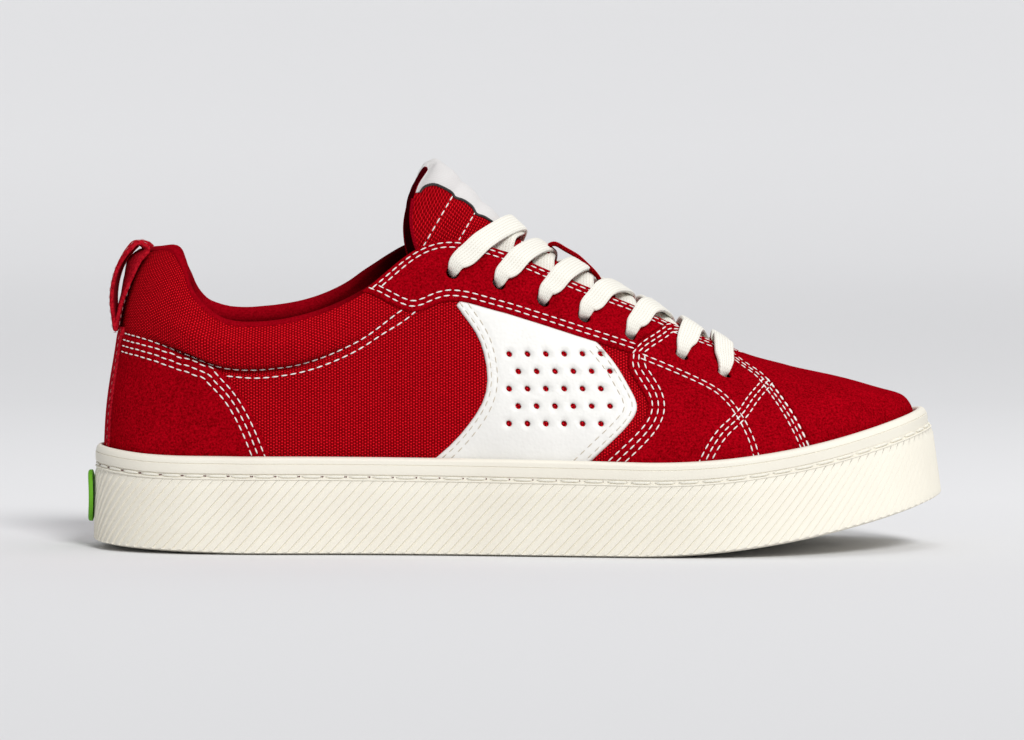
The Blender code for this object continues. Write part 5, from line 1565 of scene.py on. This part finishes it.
def build_tongue():
    """The padded tongue: canvas face with quilted channels across it, and its lining behind, painted near black as
    shade.
    """
    grid, ways, thick, shares = tongue_face()
    channel = quilt_place(grid)
    puff = 0.9 * np.abs(np.sin(math.pi * channel)) ** 0.6 - 0.9
    border = np.clip(1 - np.abs(shares) ** 8, 0.0, 1.0)[:, None] * smoothstep(-0.7, -0.3, channel)
    face = grid + ways * (puff * border)[..., None]
    depth = thick[None, :] * np.sqrt(1 - 0.85 * np.abs(shares[:, None]) ** 3)
    back = grid - ways * depth[..., None]
    over = np.concatenate([face, rolled_edge(face, back, depth[:, -1], TONGUE_ROLL), back[:, ::-1]], axis=1)
    count, rows = over.shape[:2]
    steps = face.shape[1]
    cloth = np.empty((count, rows, 2))
    cloth[..., 0] = quilt_place(over) * QUILT_STEP
    cloth[0, :, 1] = 0.0
    cloth[1:, :, 1] = np.cumsum(np.linalg.norm(np.diff(over, axis=0), axis=2), axis=0)
    faces = grid_faces(count, rows, False)
    for k in range(rows // 2):
        for first, turn in ((0, -1), ((count - 1) * rows, 1)):
            faces.append((first + k, first + k + 1, first + rows - 2 - k, first + rows - 1 - k)[::turn])
    faces += [(i * rows, i * rows + rows - 1, (i + 1) * rows + rows - 1, (i + 1) * rows) for i in range(count - 1)]
    tongue = add_mesh("tongue_canvas", over.reshape(-1, 3), faces, CANVAS, cloth.reshape(-1, 2), 60)
    # Past the roll over its top, the tongue's back takes the near-black lining as painted shade.
    tongue.data.materials.append(PAINTED_SHADE_LINING)
    for polygon in tongue.data.polygons:
        polygon.material_index = int(polygon.vertices[0] % rows > steps + 4)
    normals = normals_of(over, False)
    if (normals[TONGUE_WIDE // 2, 20] * ways[TONGUE_WIDE // 2, 20]).sum() < 0:
        normals = -normals
    return face, ways, Form(over, normals, False)


def sew_quilts():
    """Stitch rows across both halves of the tongue, from its edges to near the middle."""
    channel = quilt_place(TONGUE_GRID)
    for number in range(8):
        for columns in (range(2, 26), range(TONGUE_WIDE - 3, TONGUE_WIDE - 27, -1)):
            line = []
            for i in columns:
                before = np.nonzero((channel[i] >= number)[:-1] & (channel[i] < number)[1:])[0]
                if len(before):
                    k = int(before[-1])
                    line.append((i, k + (channel[i, k] - number) / (channel[i, k] - channel[i, k + 1])))
            if len(line) > 3:
                sew(np.array(line), 0.05, form=TONGUE_FORM)


build_sole()
build_sole_seam()
build_insole()
TONGUE_GRID, TONGUE_WAYS, TONGUE_OVER = build_tongue()
TONGUE_FORM = Form(TONGUE_GRID, TONGUE_WAYS, False)
sew_quilts()


# ---- Tubes and ribbons ----
def frames_along(line, ways):
    """Unit directions across a line and square to it, for a strip that lies by the given normals."""
    along = tangents(line)
    wide = unit(np.cross(along, ways))
    return wide, unit(np.cross(wide, along))


def ribbon_section(around, flat=0.5, ribs=0, rib_height=0.0):
    """A flat oval section on a half width and a half thickness of 1, with ribs along its faces."""
    turn = np.linspace(0, 2 * math.pi, around, endpoint=False)
    x = np.sign(np.cos(turn)) * np.abs(np.cos(turn)) ** 0.7
    z = np.sign(np.sin(turn)) * np.abs(np.sin(turn)) ** flat
    if ribs:
        z = z * (1 + rib_height * (np.abs(np.sin(x * ribs * math.pi / 2)) - 0.6) * np.abs(z))
    return x, z


def add_ribbon(name, line, ways, width, thick, look, section):
    """A flat strip along a line; width and thick are numbers or one value for each point."""
    wide, up = frames_along(line, ways)
    x, z = section
    half_width = np.broadcast_to(width, len(line))[:, None, None] / 2
    half_thick = np.broadcast_to(thick, len(line))[:, None, None] / 2
    loops = line[:, None] + wide[:, None] * x[None, :, None] * half_width + up[:, None] * z[None, :, None] * half_thick
    run = run_of(line)
    cloth = np.empty((len(line), len(x), 2))
    cloth[..., 0] = x[None, :] * np.mean(width) / 2
    cloth[..., 1] = run[:, None]
    steps, around = loops.shape[:2]
    faces = ring_faces(steps, around)
    faces.append(tuple(range(around - 1, -1, -1)))
    faces.append(tuple(range((steps - 1) * around, steps * around)))
    return add_mesh(name, loops.reshape(-1, 3), faces, look, cloth.reshape(-1, 2), 60)


ROUND = ribbon_section(12, 1.0)


# ---- Laces and their keeper ----
PANEL_TOP = 1.15  # height of the suede's face over the canvas
LACE_SECTION = ribbon_section(64, 0.42, ribs=8, rib_height=0.09)
LACE_LOW = LACE_THICK / 2 + 0.35  # height of a lace's middle over what it lies on


def face_place(x, z, side, lift):
    """A point lifted off the upper's face beside a side-view place, and the face's normal there."""
    point = side_point(x, z, side)
    step = 2.0
    slope_x = surface_height(x + step, point[1]) - surface_height(x - step, point[1])
    slope_y = surface_height(x, point[1] + step) - surface_height(x, point[1] - step)
    way = unit(np.array([-float(slope_x) / (2 * step), -float(slope_y) / (2 * step), 1.0]))
    return point + lift * way, way


def throat_half(x):
    """Half width of the throat in its closed front part."""
    share = math.asin(min(max(x - THROAT_BEND, 0.0) / (THROAT_END - THROAT_BEND), 1.0)) / (math.pi / 2)
    bend = side_point(THROAT_BEND, float(edge("lateral", THROAT_BEND)), -1)
    return throat_end(share, abs(bend[1] - float(last("centre", THROAT_BEND))))[1]


def throat_height(x):
    """Height of the throat's edge where the laces pass over it."""
    if x <= THROAT_BEND:
        return float(edge("lateral", x))
    return float(surface_height(x, float(last("centre", x)) - throat_half(x)))


TONGUE_POINTS = TONGUE_GRID.reshape(-1, 3)


def tongue_height(x, y):
    """Height of the tongue's face over a plan point."""
    distance = np.hypot(TONGUE_POINTS[:, 0] - x, TONGUE_POINTS[:, 1] - y)
    near = np.argsort(distance)[:4]
    weight = 1 / (distance[near] + 0.05)
    return float((TONGUE_POINTS[near, 2] * weight).sum() / weight.sum())


def over_facing(k, side):
    """Places and normals of a lace from the throat's edge down into eyelet k."""
    x, z, crossing = EYELETS[k]
    ahead = crossing - x
    top = throat_height(x + 0.48 * ahead)
    spots = (
        (x + 0.48 * ahead, top - 0.3, LACE_LOW + 1.1),
        (x + 0.25 * ahead, 0.5 * top + 0.5 * z + 0.6, LACE_LOW + 0.35),
        (x + 0.08 * ahead, z + 2.9, LACE_LOW + 0.1),
        (x + 0.02 * ahead, z + 1.0, LACE_LOW - 1.3),
        (x - 0.01 * ahead, z + 0.4, -2.6),
    )
    return [face_place(px, pz, side, (PANEL_TOP if lift > -2 else 0.0) + lift) for px, pz, lift in spots]


def over_tongue(x, extra):
    """Place and normal of a lace over the middle of the tongue."""
    rise = tongue_height(x + 3, 0.0) - tongue_height(x - 3, 0.0)
    way = unit(np.array([-rise / 6, 0.0, 1.0]))
    return np.array([x, 0.0, tongue_height(x, 0.0)]) + way * (LACE_LOW + 0.7 + extra), way


def from_under(k, side):
    """Places and normals of the lace to crossing k, as it comes out from under the facing opposite."""
    ahead = EYELETS[k + 1][0]
    found = []
    for reach, share, lift in ((15.0, 0.2, -0.4), (10.5, 0.5, 0.5)):
        x = ahead + share * (EYELETS[k][2] - ahead)
        y = float(last("centre", x)) + side * min(reach, throat_half(x + LACE_WIDTH / 2) - 3.0 * (reach < 12))
        lean = (tongue_height(x, y) - tongue_height(x, y - side * 3)) / 3
        way = unit(np.array([0.3, -side * lean, 1.0]))
        found.append((np.array([x, y, tongue_height(x, y)]) + way * (LACE_LOW + lift), way))
    return found


def add_strap(name, places, ends, seed):
    """A flat knitted lace through the places, narrowed where it enters its holes."""
    chance = np.random.default_rng(seed)
    line = curve_through(np.array([place for place, _ in places]), 10)
    ways = curve_through(np.array([way for _, way in places]) + 1e-6 * np.arange(len(places))[:, None], 10)
    run = run_of(line)
    width = LACE_WIDTH * (1 + 0.03 * np.sin(run / 6 + chance.uniform(0, 6)))
    thick = LACE_THICK * (1 + 0.06 * np.sin(run / 4 + chance.uniform(0, 6)))
    for end in ends:
        gone = run if end == 0 else run[-1] - run
        squeeze = smoothstep(1.5, 11.0, gone)
        width = width * (0.50 + 0.50 * squeeze)
        thick = thick * (1.25 - 0.25 * squeeze)
    tilt = chance.uniform(-0.04, 0.04)
    wide, _ = frames_along(line, ways)
    ways = ways + wide * (tilt + 0.05 * np.sin(run / 9 + chance.uniform(0, 6)))[:, None]
    return add_ribbon(name, line, ways, width, thick, LACE, LACE_SECTION)


def build_laces():
    straps = []
    for k in range(len(EYELETS) - 1):
        middle = EYELETS[k][2]
        under = [*from_under(k, -1), over_tongue(middle, 0.0), *over_facing(k, 1)]
        over = [*from_under(k, 1), over_tongue(middle, LACE_THICK - 0.1), *over_facing(k, -1)]
        for label, places in (("under", under), ("over", over)):
            strap = add_strap(f"lace_{k + 1}_{label}", places, (1,), 10 * k + len(straps))
            straps.append((strap, f"lace_crossing_{k + 1}"))
    front = len(EYELETS) - 1
    bar = over_facing(front, -1)[::-1] + [over_tongue(EYELETS[front][2], 3.0)] + over_facing(front, 1)
    straps.append((add_strap("lace_bar", bar, (0, 1), 7), "lace_front_bar"))
    return straps


KEEPER_LINE = (  # its middle line, as seen from the side
    (10.6, 104.6), (11.2, 107.3), (13.2, 108.0), (17.0, 106.0), (21.4, 103.4), (24.6, 100.5), (27.3, 97.8),
    (29.2, 94.9), (29.3, 92.0),
)


def build_keeper():
    """The folded cloth strip on the tongue that the laces run under."""
    side = curve_through(np.array(KEEPER_LINE), 8)
    along = tangents(side)
    ways = unit(np.column_stack([-along[:, 1], np.zeros(len(side)), along[:, 0]]))
    line = np.column_stack([side[:, 0], np.full(len(side), -1.5), side[:, 1]])
    add_ribbon("keeper_cloth", line, ways, 12.0, 1.6, CANVAS, ribbon_section(28, 0.3))


# ---- Pull loop, badge and label ----
def heel_line(height, offset):
    """Side-view point beside the heel's middle line, at a height and an offset from the upper."""
    back, way = SKIN_POINTS[0], SKIN_WAYS[0]
    x, out_x, out_z = (np.interp(height, back[:, 2], values) for values in (back[:, 0], way[:, 0], way[:, 2]))
    return (float(x + offset * out_x), height + offset * float(out_z))


LOOP_BEND = 68.0  # twice the radius that the flat webbing is bent to round the heel
LOOP_REAR = -143.0  # from here forwards it hugs the heel
LOOP_BULGE = ((84.0, 0.0), (90.0, 0.2), (96.8, 1.3), (100.6, 2.5), (104.0, 2.7), (106.5, 1.2), (108.0, 0.0))


def build_pull_loop():
    """A webbing strip folded into a loop against the heel, stitched along both edges."""
    inner = [heel_line(z, 2 * GAP + WEBBING / 2) for z in LOOP_HEIGHTS]
    side = curve_through(np.array([*PULL_LOOP, *inner]), 8, closed=True)
    turns_at = (8 * len(PULL_LOOP) - 10, 8 * len(PULL_LOOP) + 2, len(side) - 14, len(side) - 4)
    x, z = ribbon_section(44, 0.3)
    along = tangents(side, True)
    out = unit(np.stack([-along[:, 1], along[:, 0]], axis=1))
    y = x * WEBBING_WIDTH / 2
    inner_share = smoothstep(0.0, 1.0, np.interp(np.arange(len(side)), turns_at, (0.0, 1.0, 1.0, 0.0)))
    hug = np.clip((side[:, 0] - LOOP_REAR) / 5.0, 0.2, 1.0)
    bulge = inner_share * np.interp(side[:, 1], *zip(*LOOP_BULGE))
    side[:, 0] -= bulge
    hug += bulge / 1.8
    bend = (y**2 / LOOP_BEND)[None, :] * hug[:, None]
    loops = np.empty((len(side), len(x), 3))
    loops[..., 0] = side[:, :1] + out[:, :1] * z[None, :] * WEBBING / 2 + bend
    loops[..., 1] = BACK_SEAM + y[None, :]
    loops[..., 2] = side[:, 1:] + out[:, 1:] * z[None, :] * WEBBING / 2
    faces = ring_faces(len(side), len(x), closed=True, turned=True)
    add_mesh("pull_loop_webbing", loops.reshape(-1, 3), faces, WEBBING_RED, None, 60)
    for share in (-0.86, 0.86):
        y = share * WEBBING_WIDTH / 2
        lifted = side + out * 0.95
        across = np.full(len(side), BACK_SEAM + y)
        line = np.column_stack([lifted[:, 0] + y**2 / LOOP_BEND * hug, across, lifted[:, 1]])
        STITCH_ROWS["fine"].append((line, np.column_stack([out[:, 0], np.zeros(len(side)), out[:, 1]])))


BADGE_STEPS = 72
BADGE_RINGS = (  # share of the half width and height, and how far out, as a share of the thickness
    (1.0, 0.0), (1.0, 0.55), (0.985, 0.8), (0.95, 0.95), (0.90, 1.0), (0.85, 0.95), (0.82, 0.78), (0.78, 0.70),
    (0.5, 0.76), (0.25, 0.79), (0.02, 0.8),
)


def build_badge():
    """A small oval rubber badge with a raised rim and a bare face."""
    half_width, half_height, thick = BADGE
    turn = np.linspace(0, 2 * math.pi, BADGE_STEPS, endpoint=False)
    points = []
    for reach, out in BADGE_RINGS:
        y, up = half_width * reach * np.cos(turn), half_height * reach * np.sin(turn)
        x = HEEL_TIP[0] - 0.5 - out * (thick + 0.1) + y**2 / (2 * HEEL_RADIUS)
        points.append(np.column_stack([x, BACK_SEAM + y, BADGE_HEIGHT + up]))
    faces = ring_faces(len(BADGE_RINGS), BADGE_STEPS, turned=True)
    faces += [tuple(range(BADGE_STEPS)), tuple(range(BADGE_STEPS * len(BADGE_RINGS)))[: -BADGE_STEPS - 1 : -1]]
    add_mesh("badge_rubber", np.vstack(points), faces, BADGE_RUBBER, None, 40)


# Lateral side edge of the label, as seen from the side, from its top down.
LABEL_SIDE = (
    (-34.6, 126.6), (-33.3, 128.3), (-30.0, 129.2), (-27.2, 128.4), (-23.3, 126.1), (-22.3, 124.6), (-19.3, 123.5),
    (-16.3, 121.3), (-14.6, 118.6), (-12.0, 117.6), (-8.8, 115.5), (-5.6, 112.6), (-3.2, 110.6)
)


def on_tongue(points):
    """Places on the lateral half of the tongue's face under side-view points."""
    rows = TONGUE_GRID.shape[1]
    flat = TONGUE_GRID[: TONGUE_WIDE // 2][:, :, [0, 2]].reshape(-1, 2)
    places = []
    for point in np.asarray(points, float):
        index = int(np.argmin(((flat - point) ** 2).sum(axis=1)))
        place = np.array([index // rows, index % rows], float)
        for step in (0.5, 0.25, 0.12, 0.06):
            tries = place + step * np.array([(a, b) for a in (-1, 0, 1) for b in (-1, 0, 1)])
            tries[:, 0] = np.clip(tries[:, 0], 0.0, TONGUE_WIDE / 2)
            off = TONGUE_FORM.at(tries)[0][:, [0, 2]] - point
            place = tries[int(np.argmin((off**2).sum(axis=1)))]
        places.append(place)
    return np.array(places)


def build_label():
    """A bare cloth label folded over the top of the tongue, with a dark line along both its side edges."""
    side = on_tongue(curve_through(LABEL_SIDE, 4))
    side = side[np.concatenate([[True], np.linalg.norm(np.diff(side, axis=0), axis=1) > 0.1])]
    last_column = TONGUE_WIDE - 1
    low = side[-1, 1]
    other = np.column_stack([last_column - side[:, 0], side[:, 1]])
    foot = np.column_stack([np.linspace(side[-1, 0], other[-1, 0], 12)[1:-1], np.full(10, low)])
    behind = TONGUE_GRID.shape[1] + TONGUE_ROLL + 5.0
    rim = 0.4
    up = np.linspace(side[0, 1] + 0.5, behind, 24)
    inner = np.column_stack([np.full(24, last_column - rim), up])
    outer = np.column_stack([np.full(24, rim), up[::-1]])
    outline = np.vstack([side, foot, other[::-1], inner, outer])
    add_panel("label_cloth", TONGUE_OVER, turned_right(outline), 0.5, LABEL_CLOTH, base=0.12)
    for name, edge_side in (("lateral", side), ("medial", other)):
        line, ways = TONGUE_OVER.at(TONGUE_OVER.even(edge_side, 0.6), 0.32)
        add_ribbon("label_edge_" + name, line, ways, 1.0, 0.55, EDGE_BLACK, ROUND)
    return int(side[0, 1])


def build_tongue_binding(last):
    """The narrow turned binding up both sides of the tongue, as far as the label."""
    for label, column in (("lateral", 0), ("medial", TONGUE_WIDE - 1)):
        line, ways = TONGUE_GRID[column, 20:last], TONGUE_WAYS[column, 20:last]
        add_ribbon("tongue_binding_" + label, line - ways * 0.35, ways, 1.2, 1.5, BINDING, ribbon_section(16, 0.8))


STRAPS = build_laces()
build_keeper()
build_pull_loop()
build_badge()
build_tongue_binding(build_label())
THREADS = {
    "white": (THREAD, 3.1, 2.45, 0.52, 0.4),
    "beige": (THREAD_BEIGE, 3.4, 2.4, 0.4, 0.3),
    "heavy": (THREAD, 3.2, 2.5, 0.8, 0.6),
    "fine": (THREAD_PINK, 2.6, 1.5, 0.3, 0.16),
}
for kind, (look, pitch, length, width, height) in THREADS.items():
    add_stitches("stitches_" + kind, STITCH_ROWS[kind], look, pitch, length, width, height)


# ---- Floor, light and camera ----
SWEEP_START, SWEEP_DEPTH = -1.0, 6.5  # the sweep's painted shading starts here and runs this far back, in metres
SWEEP_SHADES = (  # how far back, and how light the sweep's colour is there: painted light and shade
    (-0.05, 0.725), (0.24, 0.765), (1.0, 0.72), (2.8, 0.745), (3.4, 0.745), (3.8, 0.735), (4.15, 0.70), (5.4, 0.70),
)
SWEEP_BLUE = 1.012  # how much stronger its blue is
CAMERA_PLACE, CAMERA_TARGET = (-0.002, -1.8, 0.145), (-0.002, 0.0, 0.063)
LENS, SENSOR = 177.8, 36.0


def build_stage():
    """A pale studio sweep: a level floor that curves up far behind the shoe."""
    turn = np.linspace(0, math.pi / 2, 13)
    side = [(-7.0, 0.0), *((3.0 + 2.5 * math.sin(a), 2.5 - 2.5 * math.cos(a)) for a in turn), (5.5, 6.0)]
    mesh = bpy.data.meshes.new("studio_sweep")
    verts = [(x, y, z) for y, z in side for x in (-9.0, 9.0)]
    faces = [(2 * k, 2 * k + 1, 2 * k + 3, 2 * k + 2) for k in range(len(side) - 1)]
    mesh.from_pydata(verts, [], faces)
    mesh.shade_smooth()
    sweep = add_object("studio_sweep", mesh)
    grey = Finish("studio_grey", (0.80, 0.80, 0.815), 0.95, Specular_IOR_Level=0.0)
    split = add_node(grey.tree, "ShaderNodeSeparateXYZ", Vector=grey.place())
    # The sweep's colour is painted lighter and darker with depth, standing for its light and shade.
    depth = calc(
        grey.tree, "MULTIPLY_ADD", split.outputs["Y"], 1 / SWEEP_DEPTH, -SWEEP_START / SWEEP_DEPTH, clamp=True
    )
    ramp = add_node(grey.tree, "ShaderNodeValToRGB", Fac=depth)
    stops = ramp.color_ramp.elements
    for place, value in SWEEP_SHADES:
        stops.new((place - SWEEP_START) / SWEEP_DEPTH).color = (value, value, SWEEP_BLUE * value, 1.0)
    for stop, (_, value) in ((stops[0], SWEEP_SHADES[0]), (stops[-1], SWEEP_SHADES[-1])):
        stop.color = (value, value, SWEEP_BLUE * value, 1.0)
    grey.tree.links.new(ramp.outputs[0], grey.shader.inputs["Base Color"])
    mesh.materials.append(grey.material)


def aim(name, data, place, way):
    """A light or camera at a place, looking along a way."""
    obj = add_object(name, data)
    obj.location = place
    obj.rotation_euler = Vector(way).to_track_quat("-Z", "Y").to_euler()
    return obj


def add_sun(name, way, power, angle):
    light = bpy.data.lights.new(name, "SUN")
    light.energy, light.angle = power, angle
    aim(name, light, (0.0, 0.0, 0.0), way)


def add_light(name, place, target, size, power):
    light = bpy.data.lights.new(name, "AREA")
    light.shape = "RECTANGLE"
    light.size, light.size_y = size
    light.energy = power
    aim(name, light, place, (np.array(target) - np.array(place)).tolist())


def build_camera():
    camera = bpy.data.cameras.new("camera")
    camera.lens, camera.sensor_width = LENS, SENSOR
    way = [to - here for to, here in zip(CAMERA_TARGET, CAMERA_PLACE)]
    bpy.context.scene.camera = aim("camera", camera, CAMERA_PLACE, way)


bpy.context.scene.view_settings.view_transform = "Standard"
build_stage()
build_camera()
add_sun("key", (-0.28, 0.75, -0.585), 2.17, 0.3)
add_light("softbox_top", (0.32, 0.0, 1.4), (0.05, 0.0, 0.05), (1.2, 0.8), 5.0)
world = bpy.data.worlds.new("studio")
bpy.context.scene.world = world
world.use_nodes = True
sky = world.node_tree.nodes["Background"]
sky.inputs["Color"].default_value = (0.98, 0.985, 1.0, 1.0)
sky.inputs["Strength"].default_value = 0.41

REPLACED = {
    "upper_canvas": "upper", "upper_lining": "upper", "cupsole": "sole", "footbed": "insole",
    "tongue_canvas": "tongue", "keeper_cloth": "lace_keeper", "pull_loop_webbing": "pull_loop",
    "badge_rubber": "heel_badge", "label_cloth": "tongue_label", **{strap.name: node for strap, node in STRAPS},
}
for obj in list(bpy.data.objects):
    if obj.type == "MESH" and "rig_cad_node" not in obj and obj.name != "studio_sweep":
        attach(obj, BODY)
        base = obj.name.split(".")[0]
        if obj.name in REPLACED:
            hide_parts(REPLACED[obj.name])
        elif base in frame["nodes"]:
            obj.name = base + "_made"
            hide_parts(base)
